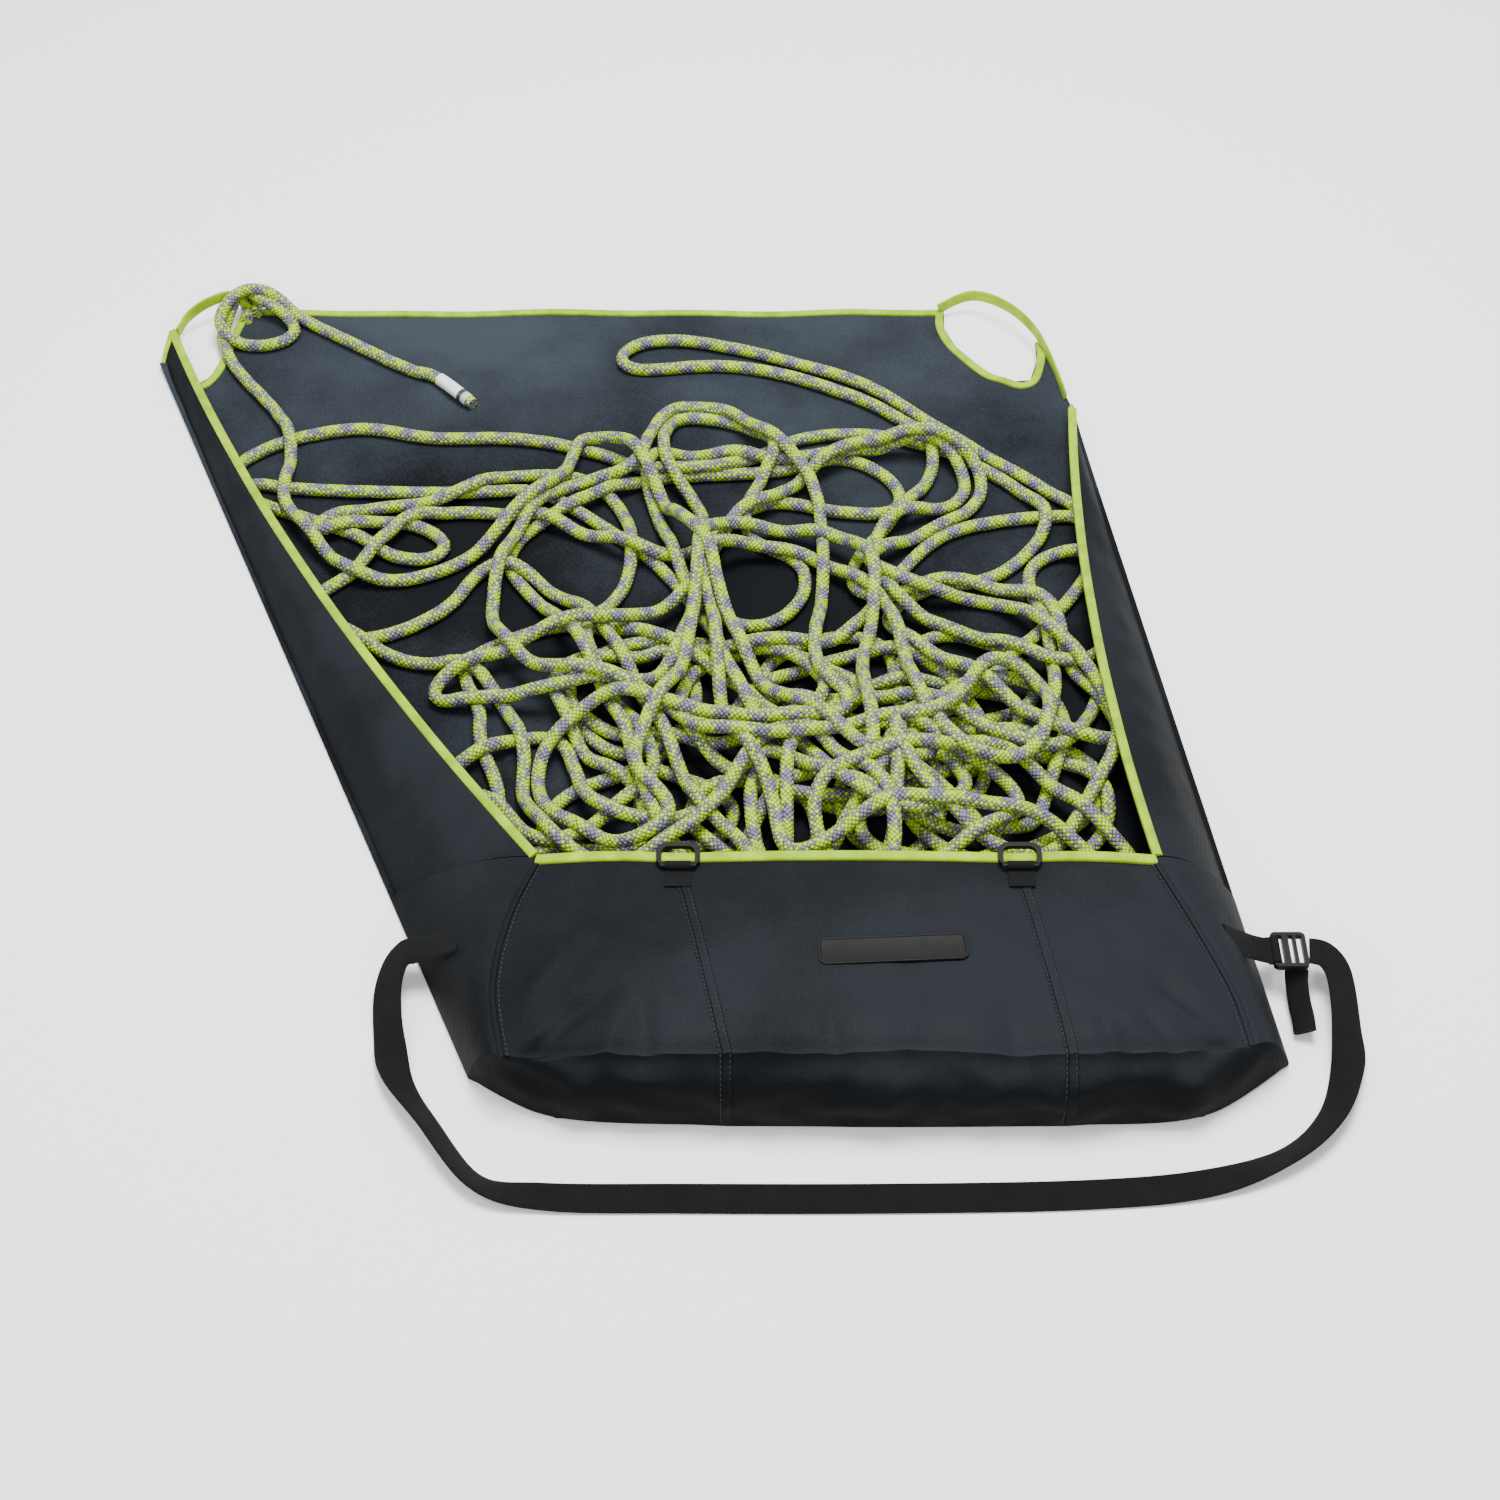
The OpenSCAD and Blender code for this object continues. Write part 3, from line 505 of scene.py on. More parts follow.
# The visible strands of the heap, from the lowest laid to the last, in millimetres
STRANDS = (
    ((220, 440), (165, 435), (100, 415), (55, 360)),
    ((-30, 260), (-100, 255), (-135, 260), (-210, 245), (-235, 235)),
    ((-220, 165), (-210, 140), (-170, 110), (-160, 80)),
    ((-175, 40), (-220, 45), (-240, 35)),
    ((-280, 80), (-280, 110), (-300, 160), (-300, 190)),
    ((-320, 250), (-310, 265), (-240, 300), (-190, 290)),
    ((-30, 140), (-5, 100)),
    ((150, 65), (160, 75), (165, 95)),
    ((190, 175), (190, 195), (175, 215)),
    ((135, 220), (75, 190)),
    ((45, 110), (40, 35)),
    ((-70, 35), (-75, 80)),
    ((-65, 160), (-90, 220)),
    ((-130, 335), (-165, 385), (-230, 445)),
    ((-285, 475), (-355, 470), (-495, 476), (-528, 486)),
    ((-524, 456), (-420, 410), (-405, 390), (-370, 380), (-350, 385), (-345, 405), (-380, 430)),
    ((-475, 410), (-440, 435), (-415, 450), (-345, 460), (-305, 490), (-255, 495)),
    ((-180, 380), (-185, 345), (-210, 300)),
    ((-170, 90), (-190, 80), (-205, 60)),
    ((-250, 45), (-275, 85)),
    ((-330, 125), (-300, 145)),
    ((-225, 150), (-210, 95)),
    ((-190, 75), (-170, 65), (-130, 65), (-90, 100)),
    ((-50, 130), (0, 85), (35, 55)),
    ((85, 70), (105, 95), (95, 115)),
    ((100, 125), (145, 140)),
    ((175, 330), (170, 350), (175, 375), (195, 390), (220, 390)),
    ((215, 200), (195, 155)),
    ((140, 140), (80, 185)),
    ((-45, 115), (-45, 35)),
    ((-155, 75), (-170, 125), (-175, 155), (-190, 185)),
    ((-245, 305), (-285, 360)),
    ((-250, 440), (-185, 480)),
    ((-15, 510), (5, 520), (30, 510), (55, 490), (65, 465)),
    ((50, 440), (0, 445), (-30, 455)),
    ((-175, 385), (-245, 425)),
    ((-295, 440), (-330, 445), (-365, 440), (-385, 430), (-430, 360), (-450, 345)),
    ((-420, 280), (-380, 290), (-335, 325), (-325, 350)),
    ((-270, 360), (-225, 315)),
    ((-155, 180), (-125, 100), (-115, 80)),
    ((-100, 60), (-85, 50), (-80, 35)),
    ((40, 35), (35, 75), (25, 95)),
    ((5, 105), (-15, 140)),
    ((-75, 120), (-100, 75), (-140, 35)),
    ((-235, 45), (-260, 95)),
    ((-260, 135), (-265, 165), (-300, 235), (-320, 250), (-340, 250)),
    ((-540, 520), (-500, 545), (-435, 560), (-370, 545), (-290, 545), (-215, 525)),
    ((-155, 495), (-95, 500), (-25, 545), (65, 545), (145, 500), (190, 450), (195, 425),
     (170, 385), (145, 360), (115, 350), (90, 350), (55, 325)),
    ((130, 200), (180, 155), (200, 145), (225, 150)),
    ((195, 265), (190, 310), (175, 330), (125, 345), (90, 350), (60, 330)),
    ((25, 390), (70, 455), (95, 500), (85, 550), (25, 605), (-90, 650), (-178, 642), (-196, 648),
     (-204, 660), (-198, 673), (-180, 685), (-150, 690), (-110, 685), (-10, 645), (45, 615),
     (120, 540), (175, 495), (220, 450)),
    ((215, 250), (190, 245), (120, 275), (70, 305), (50, 325)),
    ((75, 440), (100, 445), (120, 460), (125, 485), (115, 510)),
    ((-10, 512), (-50, 505), (-90, 515), (-145, 520)),
    ((-165, 460), (-130, 340)),
    ((-35, 320), (-25, 340), (-25, 365), (-35, 385), (-75, 405), (-80, 420)),
    ((-60, 545), (-85, 565), (-135, 575), (-150, 570), (-155, 525)),
    ((-140, 475), (-120, 450), (-115, 420), (-120, 395)),
    ((-130, 325), (-180, 290), (-260, 265)),
    ((-335, 205), (-215, 205), (-185, 205)),
    ((-110, 375), (-90, 425), (-45, 460), (-30, 480)),
    ((135, 495), (140, 470), (110, 430), (55, 395), (35, 380)),
    ((90, 330), (145, 325), (185, 280)),
    ((225, 135), (180, 55), (165, 35)),
    ((110, 35), (55, 95), (40, 145)),
    ((125, 110), (140, 105), (145, 80), (140, 65), (110, 40)),
    ((-20, 35), (-25, 60), (-20, 80), (20, 105), (90, 120)),
    ((150, 125), (210, 60), (230, 40)),
    ((180, 45), (160, 60), (75, 60), (50, 60)),
    ((-50, 25), (-60, 90), (-95, 165), (-105, 280), (-115, 325)),
    ((50, 285), (65, 190), (85, 135), (105, 110), (140, 115), (160, 125), (175, 180), (170, 210),
     (150, 225)),
    ((60, 145), (-45, 135), (-70, 130), (-115, 145), (-160, 190), (-250, 225), (-290, 275),
     (-300, 310), (-295, 370), (-275, 425), (-260, 455)),
    ((-170, 505), (-170, 530), (-150, 580), (-125, 585), (-100, 580), (-50, 520), (-15, 465),
     (-10, 350), (-20, 255), (-15, 215), (0, 195)),
    ((-150, 175), (-185, 190), (-210, 180), (-235, 160), (-250, 135), (-240, 80), (-200, 45),
     (-170, 35), (-150, 40), (-135, 55), (-140, 75), (-155, 85)),
    ((-145, 185), (-130, 225), (-120, 325), (-120, 370)),
    ((35, 340), (30, 280), (20, 235), (25, 135), (25, 105)),
    ((-10, 150), (-60, 200), (-100, 305), (-110, 360), (-125, 380), (-170, 485), (-195, 525),
     (-215, 535), (-235, 535), (-245, 480), (-290, 420), (-335, 375), (-380, 355), (-410, 355),
     (-440, 370), (-485, 430), (-500, 455), (-505, 550), (-565, 640), (-585, 675)),
)


def hidden_turns(turns):
    """Loose loops of rope flaked into the bottom of the heap, with 14 points to a turn."""
    out = []
    for i in range(turns * 14):
        t = 2 * math.pi * i / 14
        cx = -25 + 140 * math.sin(0.173 * t)
        cy = 140 + 84 * math.sin(0.111 * t + 1.1)
        rx = 78 + 24 * math.sin(0.47 * t)
        ry = 62 + 20 * math.sin(0.61 * t + 2)
        out.append(Vector((cx - 0.15 * (cy - 150) + rx * math.cos(t), cy + ry * math.sin(t), 0)))
    return out


def link(a, ta, b, tb):
    """An easy curve from point a, heading ta, to point b, heading tb."""
    gap = (b - a).length
    best = None
    for pull in (0.8, 1.1, 1.5, 2.0, 2.6, 3.4):
        m = pull * max(gap, 45)
        line = []
        for k in range(1, 24):
            t = k / 24
            line.append((2 * t ** 3 - 3 * t * t + 1) * a + (t ** 3 - 2 * t * t + t) * m * ta
                        + (-2 * t ** 3 + 3 * t * t) * b + (t ** 3 - t * t) * m * tb)
        full = [a, *line, b]
        bend = min((full[i + 1] - full[i - 1]).length
                   / max((full[i + 1] - full[i]).angle(full[i] - full[i - 1], 0), 1e-3) / 2
                   for i in range(1, len(full) - 1))
        length = sum((q - r).length for q, r in zip(full[1:], full))
        out = sum(max(0, p.x - side_limit(1, p.y)) + max(0, side_limit(-1, p.y) - p.x)
                  + max(0, p.y - HEAP_REAR) + max(0, HEAP_FRONT - p.y) for p in line)
        score = min(bend, 34) - length * 0.03 - out * 0.2
        if best is None or score > best[0]:
            best = (score, line)
    return best[1]


def side_limit(side, y):
    """How far the rope may lie under a side panel, as x at a given y."""
    edge = panel_edge(side, y).x
    return edge + side * 0.28 * abs(fold_x(side, y) - edge)


def rope_plan(turns):
    """The rope's route seen from above, from its end in the heap to the knot."""
    line = spline(hidden_turns(turns), 3)
    for strand in STRANDS:
        run = spline([(x, y, 0) for x, y in strand], 8)
        line += link(line[-1], (line[-1] - line[-2]).normalized(), run[0],
                     (run[1] - run[0]).normalized()) + run
    flat = even([(p.x, p.y) for p in line], int(sum(
        (q - r).length for q, r in zip(line[1:], line)) / ROPE_STEP))
    low = np.array([side_limit(-1, y) for y in flat[:, 1]])
    high = np.array([side_limit(1, y) for y in flat[:, 1]])
    for k in range(8):
        if k < 4:
            flat[:, 0] = np.clip(flat[:, 0], low, high)
        flat[1:-1] = 0.25 * flat[:-2] + 0.5 * flat[1:-1] + 0.25 * flat[2:]
    return even(flat, int(length_of(flat) / ROPE_STEP))


# ridges: middle x and y, heading in degrees, width, length and height
SHEET_CREASES = (
    (-330, 640, 22, 16, 120, 6.0), (-430, 690, -32, 14, 80, 6.0), (20, 690, -14, 18, 110, 6.0),
    (150, 590, 62, 15, 70, 6.5), (-180, 610, 8, 20, 120, 4.0),
    (214, 650, 110, 12, 45, 9.0))   # the last stands up beside the right loop


def sheet_height(x, y):
    """Top of the ground sheet: flat under the heap, softly creased round it."""
    open_rear = smooth((y - 480) / 120)
    z = 0.5 + 0.5 * wrinkle(x, y, 45, 3.0)
    z += open_rear * (1.6 + 2.6 * wrinkle(x * 0.6 + y * 0.5, y * 1.5 - x * 0.5, 75, 7.0))
    z = add_creases(z, x, y, SHEET_CREASES)
    edge = smooth((y - SHEET_L + 40) / 40)
    z = mix(z, 1.2 + 1.6 * math.sin(x / 52.0) + 1.2 * math.sin(x / 23.0 + 1), 0.7 * edge)
    return FLOOR_Z + max(z, 0.0)


def rope_room(x, y):
    """The highest that the rope's middle may lie: lower inside the pouch and under a panel."""
    z = mix(POUCH_ROOM, PILE_TOP, smooth((y + 10) / 110))
    for side, _ in SIDES:
        edge = panel_edge(side, y)
        past = side * (x - edge.x)
        if past > -14 and y < 690:
            z = min(z, max(edge.z - 12 - 0.2 * max(past, 0), 8.2))
    return z


def lay_rope(flat, d):
    """Lays the rope down from its first point to its last, each length on what lies there."""
    n = len(flat)
    tree = kdtree.KDTree(n)
    for i, p in enumerate(flat):
        tree.insert((p[0], p[1], 0), i)
    tree.balance()
    low, high, lift = [], [], []
    apart = int(42 / ROPE_STEP)
    for i, p in enumerate(flat):
        for _, j, r in tree.find_range((p[0], p[1], 0), d):
            if j - i > apart:
                low.append(i)
                high.append(j)
                lift.append(PRESSED * math.sqrt(max(d ** 2 - r * r, 0)))
    low, high, lift = np.array(low), np.array(high), np.array(lift)
    floor = np.array([sheet_height(*p) for p in flat]) + d / 2
    room = np.array([rope_room(*p) for p in flat])
    z = floor.copy()
    slope = 0.5 * ROPE_STEP
    for _ in range(14):     # the rope is already low where it goes under an edge
        room[1:] = np.minimum(room[1:], room[:-1] + slope)
        room[:-1] = np.minimum(room[:-1], room[1:] + slope)
    for _ in range(70):
        need = floor.copy()
        # the higher the pile, the closer each length settles on what lies below
        settle = np.clip((PILE_TOP - z[low]) / 34, 0.22, 1)
        np.maximum.at(need, high, z[low] + lift * settle)
        need = np.minimum(need, room)
        need[1:-1] = np.maximum(need[1:-1], np.maximum(need[:-2], need[2:]) - 0.6)
        for _ in range(6):
            need[1:] = np.maximum(need[1:], need[:-1] - slope)
            need[:-1] = np.maximum(need[:-1], need[1:] - slope)
        for _ in range(3):
            need[1:-1] = 0.25 * need[:-2] + 0.5 * need[1:-1] + 0.25 * need[2:]
        need = np.minimum(need, room)
        if np.abs(need - z).max() < 0.05:
            break
        z = need
    return np.column_stack([flat, z])


# The tied end, from under the corner loop: once round it, round the open eye, and away
TAIL_ROUTE = ((-560, 730, 7), (-562, 746, 9), (-565, 750, 17), (-562, 741, 25), (-549, 733, 22),
              (-531, 721, 17), (-520, 705, 10), (-525, 689, 9), (-545, 680, 9), (-569, 682, 12),
              (-587, 693, 21), (-591, 710, 23), (-583, 727, 30), (-568, 738, 34),
              (-550, 741, 30), (-535, 736, 22), (-520, 726, 12), (-500, 711, 9),
              (-475, 693, 9), (-449, 675, 9), (-423, 658, 9), (-397, 642, 9), (-373, 626, 9),
              (-337, 593, 9))
# The long rope's start, once round the corner loop and down beside the eye
KNOT_ROUTE = ((-569, 722, 9), (-571, 735, 7), (-573, 747, 9), (-576, 750, 17), (-579, 741, 24),
              (-584, 727, 18), (-589, 710, 10), (-589, 692, 9))
SLEEVE_L = 48       # length of the whipping sleeve


def make_rope(d, turns):
    """The long rope, its short tied end and the sleeve on that end."""
    heap = [Vector(p) for p in lay_rope(rope_plan(turns), d)[::-1]]
    knot = spline(KNOT_ROUTE, 6)
    path = even(knot + heap[2:], len(heap) + len(knot))
    long_rope = tube("rope_long", path, d)
    finish_piece(long_rope, "rope", "bag",
                 ("rope_pile", "rope_lead", "rope_bight", "rope_left_run", "rope_knot"))

    line = spline([(x, y, max(z, sheet_height(x, y) + d / 2)) for x, y, z in TAIL_ROUTE], 8)
    ends = even(line, 100)
    tail = tube("rope_short_end", ends, d, start=500)
    sleeve_points = [p for p in even(line, 260)
                     if np.linalg.norm(p - np.array(line[-1])) < SLEEVE_L]
    sleeve = tube("rope_sleeve", sleeve_points[:-3], d + 0.9, sides=24)
    for corner in sleeve.data.uv_layers[0].data:    # the label runs from 0 to 1
        corner.uv[1] = corner.uv[1] / (SLEEVE_L * MM)
    finish_piece(sleeve, "sleeve", "bag", ("rope_end_sleeve",))
    modify(sleeve, "BEVEL", width=0.8 * MM, segments=2)
    finish_piece(tail, "rope", "bag", ("rope_tail",))


# ---------- the ground sheet ----------
def make_sheet():
    """The ground sheet, cut round both cut-outs, with soft creases in its open part."""
    right = [(213, 656), (222, 624)] + [(fold_x(1, y), y)
                                        for y in (RIGHT_TIP_Y, 400, 200, 0, -158)]
    left = [(fold_x(-1, y), y) for y in (-170, 0, 200, 400, LEFT_TIP_Y)]
    corners = [*RIGHT_CUT, *right, *[(x, y) for x, y, _ in reversed(FOOT)], *left,
               *reversed(LEFT_CUT)]
    outline = []
    for a, b in zip(corners, corners[1:] + corners[:1]):
        a, b = Vector(a), Vector(b)
        steps = max(1, int((b - a).length / 10))
        outline += [a.lerp(b, k / steps) for k in range(steps)]
    edges = [(k, (k + 1) % len(outline)) for k in range(len(outline))]
    inner = [Vector((x + (5 if row % 2 else 0), y))
             for row, y in enumerate(range(-205, SHEET_L, 9)) for x in range(-650, 345, 10)]
    verts, _, faces, _, _, _ = geometry.delaunay_2d_cdt(
        outline + [p for p in inner if inside(p, outline, 5)], edges, [], 1, 1e-4)
    sheet = new_mesh("ground_sheet", [(p.x, p.y, sheet_height(p.x, p.y)) for p in verts], faces)
    modify(sheet, "SOLIDIFY", thickness=1.8 * MM, offset=-1)
    finish_piece(sheet, "lining", "bag", ("base_sheet",))


def inside(p, outline, margin):
    """Whether p is inside the outline and not within margin of it."""
    hit = False
    for a, b in zip(outline, outline[1:] + outline[:1]):
        if abs(a.y - p.y) < 40 or abs(b.y - p.y) < 40:
            if (a.y > p.y) != (b.y > p.y):
                if p.x < (b.x - a.x) * (p.y - a.y) / (b.y - a.y) + a.x:
                    hit = not hit
            if (a - p).length < margin:
                return False
    return hit


# ---------- side panels, gussets and pouch ----------
def at(points, c):
    """The point at share c of a smooth line, counted by its points."""
    p = [Vector(q) for q in points]
    f = min(max(c, 0), 1) * (len(p) - 1)
    i = min(int(f), len(p) - 2)
    return curve_at(p, i, f - i)


def across(fold, edge, u, fullness=0.0):
    """A section of a side: steeply up from the fold, then rounding in to the edge."""
    p = mix(fold, edge, u)
    p.z = fold.z + (edge.z - fold.z) * math.sin(math.pi / 2 * u) ** 0.8
    p.z += fullness * math.sin(math.pi * u)
    return p


def panel_section(side, u, t):
    """A point on a side panel, u from its fold to its free edge, t from mouth to rear."""
    tip_y = LEFT_TIP_Y if side < 0 else RIGHT_TIP_Y
    y = mix(-1, tip_y, t)
    fold = Vector((fold_x(side, y) - side * 2.5, y, -0.6))     # just under the sheet's edge
    edge = panel_inner(side, t)
    p = across(fold, edge - Vector((-side * 3, 0, 0)), u, 3 * (1 - t))
    free = math.sin(math.pi * min(u * 1.2, 1)) * smooth(t * 6) * smooth((1 - t) * 6 + 0.2)
    p.z += free * (3.2 * wrinkle(p.x, p.y, 70, 1.0) + 1.6 * wrinkle(p.x * 1.6, p.y, 28, 5.0))
    p.x += free * 1.5 * wrinkle(p.x, p.y, 60, 9.0)
    return p


# ridges and hollows: middle x and y, heading in degrees, width, length and height
POUCH_FOLDS = (
    (-225, -120, 58, 10, 46, 5.0), (-205, -155, 30, 14, 42, -6.0), (-60, -180, 70, 12, 34, 3.6),
    (120, -176, 82, 15, 36, -5.0), (205, -165, -38, 13, 40, 4.0), (245, -145, -50, 13, 44, -6.0),
    (60, -40, 5, 15, 80, 2.0),
    # slack gathered at both front corners, and behind the crease
    (-232, -172, 28, 7.5, 30, 5), (-214, -166, 40, 7.5, 30, -5), (-176, -182, 75, 7.5, 30, 4),
    (-150, -176, 96, 7.5, 30, -4), (-14, -182, 100, 7.5, 30, -3.5), (40, -176, 80, 7.5, 30, 3),
    (186, -180, 105, 7.5, 30, 4), (222, -172, 128, 7.5, 30, -5), (252, -160, 140, 7.5, 30, 4.5))


def pouch_lumps(p):
    """How far the pouch cloth stands out, from the folds of a soft bag with little in it."""
    z = 3.0 * wrinkle(p.x, p.y, 95, 2.0) + 1.3 * wrinkle(p.x + p.y, p.y - p.x, 38, 4.0)
    return add_creases(z, p.x, p.y, POUCH_FOLDS)


def pouch_point(c, w):
    """A point on the pouch. c runs from the left corner to the right. w runs from the mouth
    (0) over the crease (1) to the foot of the front wall (2)."""
    knots = (LEFT_CORNER, LEFT_SEAM, RIGHT_SEAM, RIGHT_CORNER)
    k = min(int(c * 3), 2)
    u = c * 3 - k
    crown = Vector((0, 0, 3.2 * math.sin(math.pi * u)))
    ridge = at(CREASE, c)
    if w <= 1:
        a, b = at(knots[k], w), at(knots[k + 1], w)
        end = mix(at(knots[k], 1), at(knots[k + 1], 1), u)
        p = mix(a, b, u) + crown * (1 - w ** 3) + (ridge - end) * w * w
        gap = (1 - w) * POUCH_L
    else:
        foot = at(FOOT, c)
        t = w - 1
        p = mix(ridge, foot, t)
        slump = math.sin(math.pi * t)
        p.y -= 9 * slump * (0.6 + 0.4 * math.sin(math.pi * c))
        folds = 6.5 * wrinkle(p.x, 0, 46, 3.0) + 4.0 * wrinkle(p.x, p.z, 24, 6.0)
        p.y -= slump * folds
        # each end follows the gusset that it is sewn to
        side = -1 if c < 0.5 else 1
        near = smooth(1 - min(c, 1 - c) * 7)
        p = mix(p, gusset_point(side, 1 - t, 1), near)
        gap = t * WALL_H + near * 60
    round_off = math.exp(-(gap / 17) ** 2) * smooth(min(c, 1 - c) * 12)
    p += Vector((0, 0.55, -0.85)) * 8 * round_off
    p.z += (pouch_lumps(p) * smooth(w * 5) * (1 if w <= 1 else max(0, 1 - (w - 1) * 2))
            * smooth(min(c, 1 - c) * 12))
    return p


def gusset_point(side, u, v):
    """A point on a gusset, u from the fold to the pouch's corner, v from mouth to front."""
    corner = at(LEFT_CORNER if side < 0 else RIGHT_CORNER, v)
    last = FOOT[0] if side < 0 else FOOT[-1]
    y = at([(0, -1, 0), (0, -60, 0), (0, -125, 0), (0, last[1], 0)], v).y
    fold = Vector((fold_x(side, y), y, 3.5))
    p = across(fold, corner, u, 3)
    p.z += 1.6 * math.sin(math.pi * u) * smooth(v * 4) * wrinkle(p.x * 2, p.y, 40, 8.0)
    return p


def make_panels():
    """The two side panels, from the pouch to the lifting flaps."""
    for side, name in SIDES:
        def shape(u, v):
            return panel_section(side, u if side < 0 else 1 - u, v)
        panel = cloth_grid(f"{name}_panel", shape, 40, 150)
        finish_piece(panel, "cloth", None, (f"{name}_side_panel",))
        blend_flap(panel)


def blend_flap(obj):
    """Bakes the placement of obj, a piece behind the pouch's mouth, into its mesh."""
    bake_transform(obj)


def make_pouch():
    """Top panels, front wall and gussets, which share their edges."""
    for k, name in enumerate(("left", "centre", "right")):
        panel = cloth_grid(f"pouch_{name}", lambda u, v: pouch_point((k + u) / 3 - NUDGE, 1 - v),
                           44, 64)
        finish_piece(panel, "cloth", "bag", (f"pouch_{name}_panel",))
    wall = cloth_grid("front_wall", lambda u, v: pouch_point(u, 2 - v), 150, 30)
    finish_piece(wall, "cloth", "bag", ("pouch_front_wall",))
    for side, name in SIDES:
        def shape(u, v):
            return gusset_point(side, u if side < 0 else 1 - u, 1 - v)
        gusset = cloth_grid(f"{name}_end", shape, 30, 48)
        finish_piece(gusset, "cloth", "bag", (f"{name}_gusset",))


# ---------- bindings, loops, seams ----------
def headings(points):
    """Level direction vectors square to a line."""
    p = [Vector(q) for q in points]
    out = []
    for i in range(len(p)):
        h = p[min(i + 1, len(p) - 1)] - p[max(i - 1, 0)]
        out.append(Vector((-h.y, h.x, 0)))
    return out


def make_bindings(width):
    """Neon tape folded over every cut edge."""
    rear = [(x, SHEET_L - 4, sheet_height(x, SHEET_L) + 0.6) for x in range(-574, 118, 8)]
    tape = ribbon("binding_rear", rear, headings(rear), width, 4.2)
    finish_piece(tape, "binding", "bag", ("rear_binding",))
    for name, cut, side in (("left", LEFT_CUT, 1), ("right", RIGHT_CUT, -1)):
        line = spline([(x, y, 0) for x, y in cut], 6)
        square = [h.normalized() for h in headings(line)]
        line = [p + side * 4 * h for p, h in zip(line, square)]
        line = [(p.x, p.y, sheet_height(p.x, p.y) + 0.4) for p in line]
        tape = ribbon(f"binding_{name}_cut", line, square, width, 4)
        finish_piece(tape, "binding", "bag", (f"{name}_cutout_binding",))
    for side, name in SIDES:
        line = [panel_inner(side, i / 110) for i in range(111)]
        line = [p + Vector((side * 4, 0, 0.3 + 0.4 * math.sin(i / 4.0) * smooth(i / 20)))
                for i, p in enumerate(line)]
        tape = ribbon(f"binding_{name}_panel", line, [Vector((1, 0, -0.25 * side))] * len(line),
                      width, 4.6)
        finish_piece(tape, "binding", None, (f"{name}_panel_binding",))
        blend_flap(tape)
    for side, name in SIDES:
        line = [panel_section(side, 1 - 0.94 * i / 14, 1) + Vector((0, 0, 0.4))
                for i in range(15)]
        tape = ribbon(f"binding_{name}_tip", line, [Vector((0.2 * side, 1, 0))] * 15, 7, 3.6)
        finish_piece(tape, "binding", f"{name}_flap", ())
    mouth = [pouch_point(i / 120 - NUDGE, 0) + Vector((0, -4, 1.2)) for i in range(1, 120)]
    ends = [Vector((side * (MOUTH_W / 2 + 2), -3, MOUTH_H + 0.5)) for side, _ in SIDES]
    mouth = ends[:1] + mouth + ends[1:]
    tape = ribbon("binding_mouth", mouth, headings(mouth), width + 1, 4.6)
    finish_piece(tape, "binding", "bag", ("mouth_binding",))


def make_loops():
    """The two corner loops that bridge the cut-outs."""
    width, thick = 12, 2.4
    line = spline(LEFT_LOOP, 8)
    loop = ribbon("corner_loop_left", line, [UP] * len(line), width, thick)
    finish_piece(loop, "binding", None, ("left_corner_loop",))
    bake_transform(loop)
    line = spline(RIGHT_LOOP, 8)
    loop = ribbon("corner_loop_right", line, [UP] * len(line), width, thick)
    finish_piece(loop, "binding", "right_loop", ("right_corner_loop",))


def stitches(name, lines, body, pitch=4.2, size=0.5):
    """Short raised stitches along lines, in millimetres, as one piece."""
    verts, faces = [], []
    for line in lines:
        p = even(line, max(2, int(sum((Vector(b) - Vector(a)).length
                                      for a, b in zip(line, line[1:])) / pitch)))
        for a, b in zip(p, p[1:]):
            a, b = Vector(a), Vector(b)
            head = (b - a).normalized()
            side = head.cross((0, 0, 1)).normalized() * size
            up = Vector((0, 0, size))
            start = a + head * pitch * 0.12
            stop = a + head * pitch * 0.78
            q = len(verts)
            verts += [start - side, start + side, mix(start, stop, 0.3) - side + up,
                      mix(start, stop, 0.3) + side + up, mix(start, stop, 0.7) - side + up,
                      mix(start, stop, 0.7) + side + up, stop - side, stop + side]
            faces += [(q, q + 1, q + 3, q + 2), (q + 2, q + 3, q + 5, q + 4),
                      (q + 4, q + 5, q + 7, q + 6), (q, q + 2, q + 4, q + 6),
                      (q + 1, q + 7, q + 5, q + 3), (q, q + 6, q + 7, q + 1)]
    obj = new_mesh(name, verts, faces, [(v[0] * MM, v[1] * MM) for v in verts])
    return finish_piece(obj, "thread", body, (), 30)


